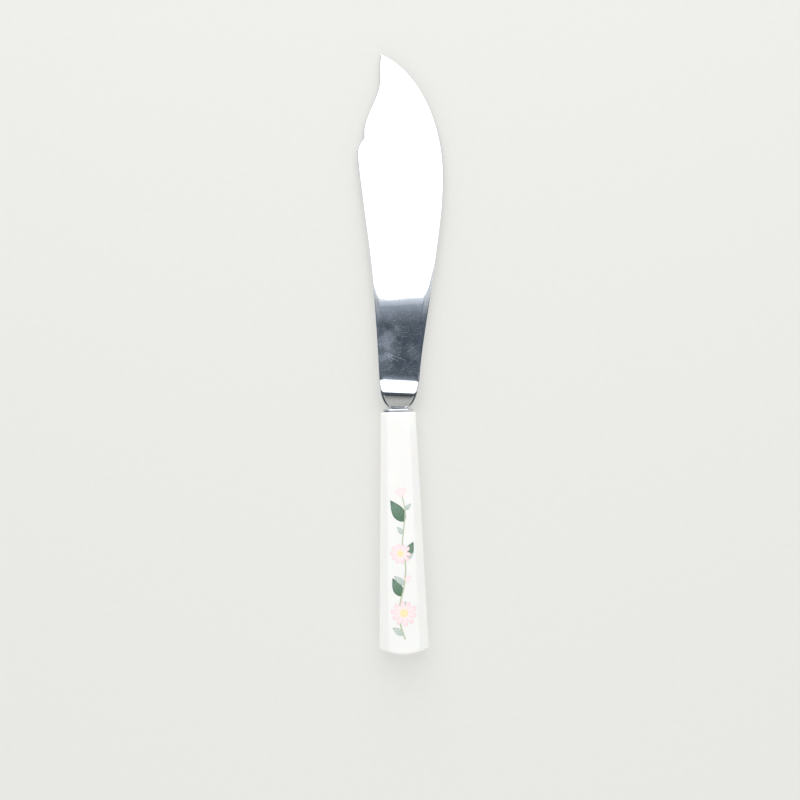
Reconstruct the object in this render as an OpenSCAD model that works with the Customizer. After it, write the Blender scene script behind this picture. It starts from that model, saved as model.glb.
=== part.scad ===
// Cake knife: a forged stainless blade set in a faceted bone-china handle.
// The knife is drawn along Y from the mouth of the handle, cutting edge towards +X and tip towards +Y,
// and is then laid on the lower facet of its handle, with the table at Z = 0.

/* [Blade] */
// Length of the blade, from the mouth of the handle to the tip
blade_length = 167.4; // [150:0.2:185]
// Thickness of the steel at the heel
heel_thickness = 1.6; // [1.2:0.1:2.4]
// Thickness of the steel at the tip
tip_thickness = 0.9; // [0.7:0.1:1.2]
// Width of the small nib left at the tip
tip_nib = 0.4; // [0.2:0.1:1]
// Width of the convex grind along the cutting edge
grind_width = 3; // [2:0.2:6]
// Depth of that grind on each face
grind_depth = 0.28; // [0.1:0.02:0.3]
// Length above the heel over which the grind runs out
grind_runout = 25; // [10:1:40]
// Width over which the faces roll off towards the back
roll_width = 2.5; // [1:0.1:4]
// Depth of that roll-off on each face
roll_depth = 0.3; // [0.1:0.05:0.3]

/* [Back of the blade] */
// Distance of the tip from the axis of the handle
tip_offset = 4.2; // [1:0.1:7]
// Length of the straight stretch below the tip
tip_straight = 12; // [6:0.5:18]
// How far that stretch leans outwards
tip_lean = 0.5; // [0:0.1:2]
// Length of the S-curve from the straight stretch down to the nick
swage_length = 25; // [15:0.5:32]
// Length of the short straight stretch above the nick
nick_straight = 2.4; // [1:0.1:5]
// Distance of the nick's corner from the axis
nick_offset = 12.7; // [9:0.1:14.5]
// Length of the rounded shoulder below the nick
shoulder_length = 8; // [5:0.2:12]
// Distance of the shoulder from the axis, the widest point of the back
shoulder_offset = 16; // [15:0.1:19]
// Slant of the back where it leaves the shoulder, in degrees
shoulder_lean = 4; // [2:0.1:6]
// Slant of the back at the heel, in degrees
back_heel_lean = 1.4; // [0:0.1:2]
// Width of the roll-off at the heel, from where it widens up the blade
heel_roll = 0.8; // [0.4:0.1:1.6]
// Distance of the back from the axis at the heel
heel_back = 8.3; // [7:0.1:10]

/* [Cutting edge] */
// Distance from the tip down to the fullest point of the edge
belly_drop = 55.4; // [45:0.2:70]
// Distance of the fullest point from the axis
belly_offset = 23.9; // [18:0.1:30]
// Slope at which the edge leaves the tip, in degrees below square
tip_slope = 25; // [15:1:35]
// Slant of the edge at the heel, in degrees
edge_heel_lean = 5; // [2:0.5:8]
// Distance of the edge from the axis at the heel
heel_edge = 10.2; // [8:0.1:12]

/* [Bolster, neck and tang] */
// Height of the heel above the mouth, where the flat blade ends
heel_height = 14.4; // [13:0.1:20]
// Height of the bolster's crest above the mouth
crest_height = 8.7; // [7:0.1:10]
// Thickness of the bolster at its crest
crest_thickness = 6.6; // [6.4:0.1:9]
// Share of the bolster's S-curved rise that its rounded crest takes
crest_share = 0.8; // [0.5:0.05:0.85]
// Slant of the bolster, which lies lower on the side of the cutting edge, in degrees
bolster_slant = 4; // [0:0.5:6]
// Length of the blade over which that slant dies out
slant_runout = 40; // [20:1:60]
// Width over which the faces of the bolster round off to its sides
bolster_round = 1.5; // [0.8:0.1:2.6]
// Depth of that rounding on each face
bolster_drop = 0.9; // [0.4:0.1:1.4]
// Height above the neck at which the tangents of the heel meet on the side of the back
back_fullness = 2.2; // [1:0.1:4]
// Height above the neck at which they meet on the side of the cutting edge
edge_fullness = 1.2; // [0.4:0.1:4]
// How far the heel draws in towards that meeting on the side of the cutting edge
edge_taper = 1.5; // [0:0.1:2]
// Width of the neck
neck_width = 8.4; // [6.5:0.1:9]
// How far the neck lies off the axis, towards the cutting edge
neck_offset = 0.3; // [0:0.1:0.6]
// Thickness of the neck
neck_thickness = 4.2; // [4.2:0.1:5.2]
// Rounding of the lip between the heel and the neck
neck_lip = 0.2; // [0.1:0.1:0.5]
// Length of the straight neck above the ferrule
neck_length = 0.6; // [0.5:0.1:2]
// Diameter of the tang
tang_diameter = 4; // [3.4:0.1:4.2]
// Length of the tang below the mouth of the handle
tang_length = 60; // [40:1:80]
// Length of the tang's tapered point
tang_point = 4; // [2:0.5:8]
// Number of keying grooves round the tang
groove_count = 4; // [2:1:5]
// Width of a keying groove
groove_width = 4; // [2:0.5:6]
// Depth of a keying groove
groove_depth = 0.5; // [0.2:0.1:0.9]

/* [Ferrule] */
// Thickness of the ferrule's cap
ferrule_thickness = 1.4; // [1:0.1:2]
// Distance from the outline of the mouth to the cap's rim
ferrule_setback = 1.2; // [1:0.1:1.6]
// Softness of the cap's upper edge
ferrule_soft = 0.5; // [0.2:0.1:0.8]
// Depth of the spigot inside the mouth
spigot_depth = 3; // [2:0.2:6]
// Gap between the spigot and the wall of the mouth
spigot_gap = 0.2; // [0.1:0.05:0.4]
// Radial gap between the tang and its hole in the ferrule
tang_gap = 0.1; // [0.05:0.05:0.2]

/* [Handle] */
// Length of the handle
handle_length = 112.6; // [95:0.2:130]
// Width at the mouth
mouth_width = 16.4; // [15:0.1:20]
// Thickness at the mouth
mouth_thickness = 12.4; // [12:0.1:15]
// Width that the flare would reach at the butt
butt_width = 23.1; // [18:0.1:27]
// Thickness that the flare would reach at the butt
butt_thickness = 17.2; // [14:0.1:21]
// Width of each corner facet at the mouth, seen from above
mouth_facet = 3.2; // [2.4:0.1:4]
// Width of each corner facet at the butt, seen from above
butt_facet = 4.7; // [3:0.1:6]
// Slope of the corner facets, in degrees
facet_slope = 42; // [36:1:48]
// Softness of the glazed edges between the facets
glaze_soft = 0.9; // [0.3:0.1:1.3]
// Rounding of the rim at the mouth
mouth_round = 0.9; // [0.4:0.1:1]
// Radius of the cambered end of the butt
butt_radius = 22; // [18:0.5:40]
// Softness of the edge round the butt
butt_soft = 0.9; // [0.4:0.1:1.5]
// Width of the flat left in the middle of the butt
butt_flat = 3.4; // [2:0.2:6]
// Thickness of the china wall
china_wall = 2.8; // [2.4:0.1:3.1]
// Thickness of the china at the closed butt
butt_wall = 5; // [3.5:0.1:9]
// Length over which the hollow rounds off at the butt
hollow_turn = 4; // [2:0.5:8]
// Share of the hollow's width left at its closed end
hollow_end = 0.6; // [0.4:0.05:0.9]

/* [Cement] */
// Space left unfilled at the closed end of the hollow
cement_gap = 6; // [5:0.5:40]

/* [Hidden] */
$fn = 64;

// Steps along the parts of the outline and round the corners of a section
corner_steps = 6;
facet_steps = 3;
swage_steps = 9;
shoulder_steps = 6;
taper_steps = 16;
tip_steps = 8;
fillet_steps = 6;
crest_steps = 6;
neck_steps = 5;
lip_steps = 3;
dome_steps = 4;
soft_steps = 4;
rim_steps = 3;
solve_steps = 30;
// Largest shares of the local width that the roll-off and the grind may take
roll_share = 0.3;
grind_share = 0.5;
// Overlap that keeps joined or cut solids clear of shared faces
overlap = 1;

// Half sizes
heel_half = heel_thickness / 2;
tip_half = tip_thickness / 2;
crest_half = crest_thickness / 2;
neck_half = neck_thickness / 2;
lip_half = neck_half + neck_lip;
neck_side = neck_width / 2;
tang_r = tang_diameter / 2;

// Heights along the blade
neck_y = ferrule_thickness + neck_length;
lip_y = neck_y + neck_lip;
straight_y = blade_length - tip_straight;
nick_top_y = straight_y - swage_length;
nick_y = nick_top_y - nick_straight;
shoulder_y = nick_y - shoulder_length;
belly_y = blade_length - belly_drop;

// Shares of a stretch that the handles of its curve take
taper_share_top = 0.27;
taper_share_heel = 0.58;
tip_curve_share = 0.36;
belly_share_up = 0.41;
belly_share_down = 0.29;
edge_heel_share = 0.25;

// Control points of the outline's curves, as [x, y]
shoulder_curve = [
    [-nick_offset, nick_y],
    [-shoulder_offset, nick_y - (shoulder_offset - nick_offset)],
    [-shoulder_offset, shoulder_y]
];
taper_run = shoulder_y - heel_height;
taper_top = taper_share_top * taper_run;
taper_heel = taper_share_heel * taper_run;
taper_curve = [
    [-shoulder_offset, shoulder_y],
    [-shoulder_offset + taper_top * tan(shoulder_lean), shoulder_y - taper_top],
    [-heel_back - taper_heel * tan(back_heel_lean), heel_height + taper_heel],
    [-heel_back, heel_height]
];
tip_reach = tip_curve_share * belly_drop;
tip_curve = [
    [-tip_offset + tip_nib, blade_length],
    [-tip_offset + tip_nib + tip_reach * cos(tip_slope), blade_length - tip_reach * sin(tip_slope)],
    [belly_offset, belly_y + belly_share_up * belly_drop],
    [belly_offset, belly_y]
];
edge_run = belly_y - heel_height;
edge_heel_run = edge_heel_share * edge_run;
edge_curve = [
    [belly_offset, belly_y],
    [belly_offset, belly_y - belly_share_down * edge_run],
    [heel_edge + edge_heel_run * tan(edge_heel_lean), heel_height + edge_heel_run],
    [heel_edge, heel_height]
];
back_heel_curve = [
    [-heel_back, heel_height],
    [-heel_back, neck_y + back_fullness],
    [neck_offset - neck_side, neck_y]
];
edge_heel_curve = [
    [heel_edge, heel_height],
    [heel_edge - edge_taper, neck_y + edge_fullness],
    [neck_offset + neck_side, neck_y]
];

// The bolster rises from the flat of the blade in two arcs that meet at the steepest slope: a fillet and
// the rounded crest. The crest's arc runs on until it meets the straight fall to the lip of the neck.
rise_run = heel_height - crest_height;
rise = crest_half - heel_half;
rise_slope = 2 * atan(rise / rise_run);
crest_r = crest_share * rise_run / sin(rise_slope);
fillet_r = (1 - crest_share) * rise_run / sin(rise_slope);
crest_centre = crest_half - crest_r;
fall_run = crest_height - lip_y;
lip_lift = lip_half - crest_centre;
fall_slope = atan2(fall_run, lip_lift) - acos(crest_r / norm([fall_run, lip_lift]));

// The knife lies on its lower facet: slope of that facet, its height under the axis and the ends of the box
lie_angle = atan((butt_thickness - mouth_thickness) / 2 / handle_length);
lie_height = mouth_thickness / 2 * cos(lie_angle);
butt_core = butt_flat / butt_width;
front_y = blade_length * cos(lie_angle) + tip_half * sin(lie_angle);
rear_y = -handle_length * cos(lie_angle) - butt_core * butt_thickness / 2 * sin(lie_angle);
right_x = max(belly_offset, butt_width / 2);
left_x = -max(shoulder_offset, butt_width / 2);

// Plain helpers
function mix(a, b, t) = a + (b - a) * t;
function clamp(t) = min(1, max(0, t));
function unit(v) = v / norm(v);
function steps(a, b, n) = [for (i = [0 : n]) mix(a, b, i / n)];

// Point on a Bezier curve of any degree
function bezier(p, t) =
    len(p) == 1 ? p[0] : bezier([for (i = [0 : len(p) - 2]) mix(p[i], p[i + 1], t)], t);

// Offset x at which a curve that falls steadily in y reaches a height
function curve_x(p, y, low = 0, high = 1, n = solve_steps) =
    let (mid = (low + high) / 2)
    n == 0 ? bezier(p, mid)[0]
    : bezier(p, mid)[1] > y ? curve_x(p, y, mid, high, n - 1)
    : curve_x(p, y, low, mid, n - 1);

// Outline of the blade: offsets of the back and of the cutting edge at a height
function swage_x(y) =
    let (t = clamp((straight_y - y) / swage_length))
    -mix(tip_offset + tip_lean, nick_offset, t * t * (3 - 2 * t));
function back_x(y) =
    y >= straight_y ? -tip_offset - tip_lean * (blade_length - y) / tip_straight
    : y >= nick_y ? swage_x(y)
    : y >= shoulder_y ? curve_x(shoulder_curve, y)
    : y >= heel_height ? curve_x(taper_curve, y)
    : y > neck_y ? curve_x(back_heel_curve, y)
    : neck_offset - neck_side;
function edge_x(y) =
    y >= belly_y ? curve_x(tip_curve, y)
    : y >= heel_height ? curve_x(edge_curve, y)
    : y > neck_y ? curve_x(edge_heel_curve, y)
    : neck_offset + neck_side;

// Stations along the forging, as [y, half thickness], from the neck up to the tip
function crest_point(a) = [crest_height + crest_r * sin(a), crest_centre + crest_r * cos(a)];
function fillet_point(a) = [heel_height - fillet_r * sin(a), heel_half + fillet_r * (1 - cos(a))];
function lip_point(a) = [lip_y - neck_lip * cos(a), lip_half - neck_lip * (1 - sin(a))];
lip_stations = [for (i = [0 : lip_steps]) lip_point(90 * i / lip_steps)];
fall_stations = [
    for (i = [1 : neck_steps]) mix([lip_y, lip_half], crest_point(-fall_slope), i / neck_steps)
];
crest_stations = [
    for (i = [1 : crest_steps]) crest_point(mix(-fall_slope, rise_slope, i / crest_steps))
];
fillet_stations = [for (i = [1 : fillet_steps]) fillet_point(rise_slope * (1 - i / fillet_steps))];
blade_heights = concat(
    [for (i = [1 : taper_steps]) mix(heel_height, shoulder_y, i / taper_steps)],
    [for (i = [1 : shoulder_steps]) mix(shoulder_y, nick_y, i / shoulder_steps)],
    [nick_top_y],
    [for (i = [1 : swage_steps]) mix(nick_top_y, straight_y, i / swage_steps)],
    [for (i = [1 : tip_steps]) blade_length - tip_straight * (1 - i / tip_steps) ^ 2]
);
blade_stations = [
    for (y = blade_heights)
        [y, mix(heel_half, tip_half, (y - heel_height) / (blade_length - heel_height))]
];
seat_station = [ferrule_thickness, neck_half];
stations = concat(
    [seat_station], lip_stations, fall_stations, crest_stations, fillet_stations, blade_stations
);

// Height of a point of a section, which slants across the bolster and is square at the seat and up the blade
function slant(y) =
    let (
        up_neck = clamp((y - ferrule_thickness) / neck_length),
        down_blade = clamp((heel_height + slant_runout - y) / slant_runout)
    )
    tan(bolster_slant) * min(up_neck, down_blade);
function slanted(x, y) = y - x * slant(y);

// Section of the forging at one station: flat faces that roll off to the back and to the cutting edge.
// Above the heel the edge is ground, and at the bolster and the neck both sides are rounded alike.
function corner(x, inward, reach, half, depth) = [
    for (i = [0 : corner_steps])
        let (a = 90 * i / corner_steps)
        [x + inward * reach * (1 - cos(a)), half - depth * (1 - sin(a))]
];
function section(y, half) =
    let (
        back = back_x(slanted(back_x(y), y)),
        edge = edge_x(slanted(edge_x(y), y)),
        wide = edge - back,
        ground = clamp((y - heel_height) / grind_runout),
        raised = clamp((heel_height - y) / (heel_height - crest_height)),
        roll_reach = mix(heel_roll, min(roll_width, roll_share * wide), ground),
        side_reach = mix(roll_reach, bolster_round, raised),
        side_depth = mix(roll_depth, bolster_drop, raised),
        edge_reach = mix(side_reach, min(grind_width, grind_share * wide), ground),
        edge_depth = mix(side_depth, grind_depth, ground),
        right = corner(edge, -1, edge_reach, half, edge_depth),
        left = corner(back, 1, side_reach, half, side_depth),
        top = concat(right, [for (i = [corner_steps : -1 : 0]) left[i]])
    )
    concat(
        [for (p = top) [p[0], slanted(p[0], y), p[1]]],
        [for (i = [len(top) - 1 : -1 : 0]) [top[i][0], slanted(top[i][0], y), -top[i][1]]]
    );

// Handle: share of the way from the mouth to the butt, and its sizes there
function along(y) = -y / handle_length;
function half_width(y) = mix(mouth_width, butt_width, along(y)) / 2;
function half_thick(y) = mix(mouth_thickness, butt_thickness, along(y)) / 2;
function facet_run(y) = mix(mouth_facet, butt_facet, along(y));

// Eight-sided ring of the handle at a height, drawn in by an equal distance on every side, then scaled
function ring(y, inset, soft, scale = 1) =
    let (
        a = half_width(y) - inset,
        b = half_thick(y) - inset,
        run = facet_run(y),
        fall = run * tan(facet_slope),
        slack = run + fall - norm([run, fall]),
        ca = run - inset * slack / fall,
        cb = fall - inset * slack / run,
        v = [
            [a, cb - b], [a, b - cb], [a - ca, b], [ca - a, b],
            [-a, b - cb], [-a, cb - b], [ca - a, -b], [a - ca, -b]
        ]
    )
    [
        for (i = [0 : 7])
            let (
                p = v[i],
                back = p + soft * unit(v[(i + 7) % 8] - p),
                ahead = p + soft * unit(v[(i + 1) % 8] - p)
            )
            for (s = [0 : facet_steps])
                let (q = scale * bezier([back, p, ahead], s / facet_steps))
                [q[0], y, q[1]]
    ];

// The butt is a shallow dome with a flat core, cut off by the facets along a soft edge. A level ring gives the
// rise of the dome at each of its points, and the point is then taken from the facets at its own height.
function dome(p) = (p[0] ^ 2 + p[2] ^ 2) / (2 * butt_radius);
core_rise = dome([butt_core * butt_width / 2, 0, butt_core * butt_thickness / 2]);
facet_rise = dome([0, 0, butt_thickness / 2]) - core_rise;
soft_scale = 1 - 2 * butt_soft / butt_thickness;
soft_curve = [[soft_scale, 0], [1, 0], [1, butt_soft]];
function butt_ring(scale, lift) =
    let (level = ring(facet_rise + lift - handle_length, 0, glaze_soft, scale))
    [
        for (i = [0 : len(level) - 1])
            let (y = max(0, dome(level[i]) - core_rise) + lift - handle_length)
            ring(y, 0, glaze_soft, scale)[i]
    ];

// Heights in the hollow of the handle
hollow_soft = glaze_soft / 2;
hollow_floor = butt_wall - handle_length;
cement_floor = hollow_floor + cement_gap;
function hollow_ring(y, scale = 1) = ring(y, china_wall, hollow_soft, scale);

// Solid through a row of rings that run towards +Y, each counted anticlockwise as seen from -Y
module loft(rings) {
    m = len(rings[0]);
    last = (len(rings) - 1) * m;
    sides = [
        for (i = [0 : m : last - m], j = [0 : m - 1])
            let (a = i + j, b = i + (j + 1) % m)
            each [[a, b, b + m], [a, b + m, a + m]]
    ];
    low_cap = [for (j = [m - 1 : -1 : 0]) j];
    high_cap = [for (j = [0 : m - 1]) last + j];
    polyhedron([for (r = rings) each r], concat([low_cap], sides, [high_cap]));
}

// Round solid whose axis is the axis of the handle, from a profile of [radius, y]
module turned_along_y(profile) {
    rotate([-90, 0, 0])
        rotate_extrude()
            polygon(profile);
}

// The knife lies on the lower facet of its handle, with the origin on the table under the middle of its box
module lie_down() {
    translate([-(left_x + right_x) / 2, -(front_y + rear_y) / 2, lie_height])
        rotate([-lie_angle, 0, 0])
            children();
}

// Round tang with keying grooves and a tapered point
module tang() {
    pitch = (tang_length - tang_point - spigot_depth) / groove_count;
    grooves = [
        for (i = [0 : groove_count - 1])
            let (y = -spigot_depth - pitch * (i + 0.5))
            each [
                [tang_r, y + groove_width / 2],
                [tang_r - groove_depth, y + groove_width / 4],
                [tang_r - groove_depth, y - groove_width / 4],
                [tang_r, y - groove_width / 2]
            ]
    ];
    turned_along_y(concat(
        [[0, ferrule_thickness + overlap], [tang_r, ferrule_thickness + overlap]],
        grooves,
        [[tang_r, tang_point - tang_length], [tang_r / 2, -tang_length], [0, -tang_length]]
    ));
}

module blade() {
    color("#C3C8CE")
        lie_down()
            union() {
                loft([for (s = stations) section(s[0], s[1])]);
                tang();
            }
}

module ferrule() {
    rim = [
        for (i = [0 : rim_steps])
            let (a = 90 * i / rim_steps)
            [ferrule_setback + ferrule_soft * (1 - cos(a)), ferrule_thickness - ferrule_soft * (1 - sin(a))]
    ];
    function mouth_ring(y, inset) = [for (p = ring(0, inset, glaze_soft / 2)) [p[0], y, p[2]]];
    color("#B4BAC1")
        lie_down()
            difference() {
                union() {
                    loft(concat(
                        [mouth_ring(0, ferrule_setback)],
                        [for (r = rim) mouth_ring(r[1], r[0])]
                    ));
                    loft([
                        for (y = [-spigot_depth, ferrule_thickness / 2])
                            mouth_ring(y, china_wall + spigot_gap)
                    ]);
                }
                turned_along_y([
                    [0, -spigot_depth - overlap],
                    [tang_r + tang_gap, -spigot_depth - overlap],
                    [tang_r + tang_gap, ferrule_thickness + overlap],
                    [0, ferrule_thickness + overlap]
                ]);
            }
}

module handle() {
    butt = concat(
        [for (i = [0 : dome_steps - 1]) [mix(butt_core, soft_scale, i / dome_steps), 0]],
        [for (i = [0 : soft_steps]) bezier(soft_curve, i / soft_steps)]
    );
    rim = [
        for (i = [0 : rim_steps])
            let (a = 90 * i / rim_steps)
            [mouth_round * (1 - cos(a)), -mouth_round * (1 - sin(a))]
    ];
    hollow_turn_rows = [
        for (i = [0 : rim_steps])
            let (a = 90 * i / rim_steps)
            [mix(hollow_end, 1, sin(a)), hollow_floor + hollow_turn * (1 - cos(a))]
    ];
    color("#F3F2ED")
        lie_down()
            difference() {
                loft(concat(
                    [for (b = butt) butt_ring(b[0], b[1])],
                    [for (r = rim) ring(r[1], r[0], glaze_soft)]
                ));
                loft(concat(
                    [for (h = hollow_turn_rows) hollow_ring(h[1], h[0])],
                    [hollow_ring(overlap)]
                ));
            }
}

module cement() {
    color("#CFCBC0")
        lie_down()
            difference() {
                loft([hollow_ring(cement_floor), hollow_ring(-spigot_depth)]);
                tang();
            }
}

blade();
ferrule();
handle();
cement();
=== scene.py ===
"""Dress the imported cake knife: fine meshes, finishes, fired-on decoration and a plain studio.

Sizes are millimetres in the knife's own frame: the axis of the handle runs along Y with its mouth at Y = 0,
the tip points to +Y and the cutting edge to +X. Lie turns that frame into the row frame, in metres.
"""

import logging
import math
from collections.abc import Callable, Iterable
from dataclasses import dataclass, field
from enum import Enum
from typing import Any, NamedTuple

import bmesh
import bpy
from bpy.types import Material, Mesh, Node, NodeSocket, NodeTree, Object
from mathutils import Matrix, Vector


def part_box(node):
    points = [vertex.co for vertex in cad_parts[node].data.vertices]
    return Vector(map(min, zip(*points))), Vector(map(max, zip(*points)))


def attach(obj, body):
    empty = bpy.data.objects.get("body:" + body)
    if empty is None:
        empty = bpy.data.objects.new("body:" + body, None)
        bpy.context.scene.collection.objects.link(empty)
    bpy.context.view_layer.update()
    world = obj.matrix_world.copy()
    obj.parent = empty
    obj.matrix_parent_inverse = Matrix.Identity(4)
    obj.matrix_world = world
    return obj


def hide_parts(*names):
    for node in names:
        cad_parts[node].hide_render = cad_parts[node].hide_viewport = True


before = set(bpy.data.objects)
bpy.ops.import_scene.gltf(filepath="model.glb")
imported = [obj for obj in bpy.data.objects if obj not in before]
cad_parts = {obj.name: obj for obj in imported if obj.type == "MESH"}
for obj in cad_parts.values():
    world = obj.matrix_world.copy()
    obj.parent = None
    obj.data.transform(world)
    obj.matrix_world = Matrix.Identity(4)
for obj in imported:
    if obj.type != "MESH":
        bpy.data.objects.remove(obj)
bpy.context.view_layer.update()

MM = 0.001
BODY = "root"
MATH = "ShaderNodeMath"
VECTOR_MATH = "ShaderNodeVectorMath"
MIX = "ShaderNodeMix"
MAP_RANGE = "ShaderNodeMapRange"
NOISE = "ShaderNodeTexNoise"
CELLS = "ShaderNodeTexVoronoi"
BUMP = "ShaderNodeBump"
# The part of a Map Range node's inputs that takes in most values of a noise texture
NOISE_SPAN = {1: 0.3, 2: 0.7}
# Refraction of the glaze and of the glassy enamels on it
GLASS_IOR = 1.52
# Doubles and slivers of a mesh are below these lengths, in millimetres
DOUBLE, SLIVER = 1e-4, 1e-5
# Edges that turn by more than this many degrees stay sharp, on the forging and on the other pieces
STEEL_CREASE, FILM_CREASE = 35.0, 40.0
# Ranges within which leaves swing out and vary in size, and petals vary in size
SWING, LEAF_SIZES, PETAL_SIZES = (0.8, 1.2), (0.85, 1.1), (0.88, 1.06)

# A point of a plane, the two ends of a range, a point in space and what goes into a node's inputs
Spot = tuple[float, float]
Range = tuple[float, float]
Triple = tuple[float, float, float]
Inputs = dict[int | str, Any]
log = logging.getLogger("cake_knife")


def linear(colour: str) -> tuple[float, float, float, float]:
    """Turn an sRGB hex colour into linear RGBA.

    Args:
        colour: The colour, such as "#F3F2ED".

    Returns:
        The four linear channels, with alpha 1.
    """
    channels = [int(colour[i : i + 2], 16) / 255 for i in (1, 3, 5)]
    curve = [c / 12.92 if c <= 0.04045 else ((c + 0.055) / 1.055) ** 2.4 for c in channels]
    return (curve[0], curve[1], curve[2], 1.0)


def mix(a: float, b: float, t: float) -> float:
    """Blend two numbers by a share t."""
    return a + (b - a) * t


def clamp(t: float) -> float:
    """Limit a share to the range from 0 to 1."""
    return min(1.0, max(0.0, t))


def steps(a: float, b: float, count: int) -> list[float]:
    """Give count + 1 even steps from a to b."""
    return [mix(a, b, i / count) for i in range(count + 1)]


def bezier(points: list[Spot], t: float) -> Spot:
    """Find a point on a plane Bezier curve of any degree.

    Args:
        points: The control points.
        t: The parameter, from 0 to 1.

    Returns:
        The point on the curve.
    """
    row = list(points)
    while len(row) > 1:
        row = [(mix(p[0], q[0], t), mix(p[1], q[1], t)) for p, q in zip(row, row[1:])]
    return row[0]


def curve_x(points: list[Spot], y: float, halvings: int = 40) -> float:
    """Find the offset at which a curve that falls steadily in y reaches a height.

    Args:
        points: The control points, as (x, y).
        y: The height.
        halvings: How often the search halves its range.

    Returns:
        The x of the curve at that height.
    """
    low, high = 0.0, 1.0
    for _ in range(halvings):
        middle = (low + high) / 2
        if bezier(points, middle)[1] > y:
            low = middle
        else:
            high = middle
    return bezier(points, (low + high) / 2)[0]


def wire(node: Node, inputs: Inputs) -> None:
    """Set or link some inputs of a node.

    Args:
        node: The node.
        inputs: For an input's name or place, a value, an output socket or a node whose first output is used.
    """
    for key, value in inputs.items():
        source = value.outputs[0] if isinstance(value, Node) else value
        if isinstance(source, NodeSocket):
            node.id_data.links.new(source, node.inputs[key])
        else:
            node.inputs[key].default_value = source


def add_node(tree: NodeTree, kind: str, inputs: Inputs | None = None, **settings: Any) -> Node:
    """Add one node to a tree, set it up and wire its inputs.

    Args:
        tree: The shader or geometry tree.
        kind: The node's type name.
        inputs: What goes into its inputs, as for wire.
        settings: Values of the node's own properties.

    Returns:
        The new node.
    """
    node = tree.nodes.new(kind)
    for name, value in settings.items():
        setattr(node, name, value)
    wire(node, inputs or {})
    return node


class Surface:
    """A material under construction, with its tree, its shader and its coordinates in the row frame."""

    def __init__(self, name: str) -> None:
        """Start the material with a Principled shader alone.

        Args:
            name: The material's name.
        """
        self.material = bpy.data.materials.new(name)
        self.material.use_nodes = True
        self.tree = self.material.node_tree
        self.tree.nodes.clear()
        self.shader = self.add("ShaderNodeBsdfPrincipled")
        self.add("ShaderNodeOutputMaterial", {"Surface": self.shader})
        self.coords: NodeSocket = self.add("ShaderNodeTexCoord").outputs["Object"]

    def add(self, kind: str, inputs: Inputs | None = None, **settings: Any) -> Node:
        """Add one node to this material."""
        return add_node(self.tree, kind, inputs, **settings)

    def close(self, inputs: Inputs) -> Material:
        """Wire the shader and give the material."""
        wire(self.shader, inputs)
        return self.material


def close_mesh(mesh: Mesh, sharp: float) -> None:
    """Merge doubles, turn the normals outwards and shade the mesh smooth.

    Args:
        mesh: The mesh, in millimetres.
        sharp: Edges that turn by more than this angle, in degrees, stay sharp.
    """
    work = bmesh.new()
    work.from_mesh(mesh)
    bmesh.ops.remove_doubles(work, verts=work.verts, dist=DOUBLE)
    bmesh.ops.dissolve_degenerate(work, edges=work.edges, dist=SLIVER)
    bmesh.ops.recalc_face_normals(work, faces=work.faces)
    for face in work.faces:
        face.smooth = True
    work.to_mesh(mesh)
    work.free()
    mesh.set_sharp_from_angle(angle=math.radians(sharp))


def place(name: str, mesh: Mesh, matrix: Matrix) -> Object:
    """Put a mesh into the row frame as an object at the origin.

    Args:
        name: The object's name.
        mesh: The mesh, in millimetres.
        matrix: The way from the mesh's own frame to the row frame.

    Returns:
        The object.
    """
    mesh.transform(matrix)
    piece = bpy.data.objects.new(name, mesh)
    bpy.context.scene.collection.objects.link(piece)
    return piece


def hand_over(piece: Object, slot: str, *nodes: str) -> None:
    """Hang a finished piece on the body, hide the CAD nodes that it replaces, and report it.

    Args:
        piece: The finished object.
        slot: The name of the record's material slot, which is only logged.
        nodes: The CAD nodes that the piece replaces.
    """
    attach(piece, BODY)
    if nodes:
        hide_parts(*nodes)
    log.info("%s: %d faces, slot %s", piece.name, len(piece.data.polygons), slot)


class Grain(Enum):
    """Direction in which steel was polished, as the axis that its fine lines follow."""

    LENGTHWISE = 1
    CROSSWISE = 0


class Ink(Enum):
    """Colours of the enamels that were printed on the glaze and fired."""

    LEAF_GREEN = "#5C7C61"
    MOSS_GREEN = "#86A092"
    DARK_GREEN = "#3F5E45"
    SAGE = "#BFCBC5"
    MIST_GREEN = "#D3DCD7"
    GREY_GREEN = "#A3B3AB"
    STEM = "#BFC8AA"
    PETAL_WHITE = "#FDF1F2"
    PETAL_PINK = "#FCE6E9"
    ROSE = "#F7D6DC"
    POLLEN = "#FBEEC4"
    OCHRE = "#F2D995"


class Veins(Enum):
    """How the lines in a printed shape run."""

    FEATHER = "feather"
    RAYS = "rays"


class Socket(Enum):
    """Kinds of input that a piece's tree takes."""

    REAL = "NodeSocketFloat"
    COUNT = "NodeSocketInt"
    SHAPE = "NodeSocketObject"


class Smudge(NamedTuple):
    """A finger mark on polished steel: middle and reach in millimetres of the row frame, and density."""

    x: float
    y: float
    reach_x: float
    reach_y: float
    density: float


class Hairline(NamedTuple):
    """A fine scratch in polished steel, between two points in millimetres of the row frame, and density."""

    x0: float
    y0: float
    x1: float
    y1: float
    density: float


# Handling marks on the blade, between the bolster and the middle
SMUDGES = (
    Smudge(-8.0, 4.2, 5.7, 7.6, 0.4),
    Smudge(-9.0, -4.0, 4.0, 5.0, 0.16),
    Smudge(3.6, 0.4, 4.0, 4.6, 0.1),
    Smudge(-9.0, 18.5, 6.0, 5.0, 0.1),
    Smudge(-2.0, 17.0, 15.0, 6.0, 0.05),
    Smudge(-2.0, -8.5, 9.0, 4.5, 0.03),
)
HAIRLINES = (
    Hairline(-8.6, 0.25, 0.1, -3.4, 1.3),
    Hairline(-9.8, -0.2, -3.2, -3.65, 1.1),
    Hairline(1.4, 1.1, 6.8, 3.9, 0.5),
    Hairline(-2.6, -9.0, 6.4, -0.8, 0.4),
)


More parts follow.
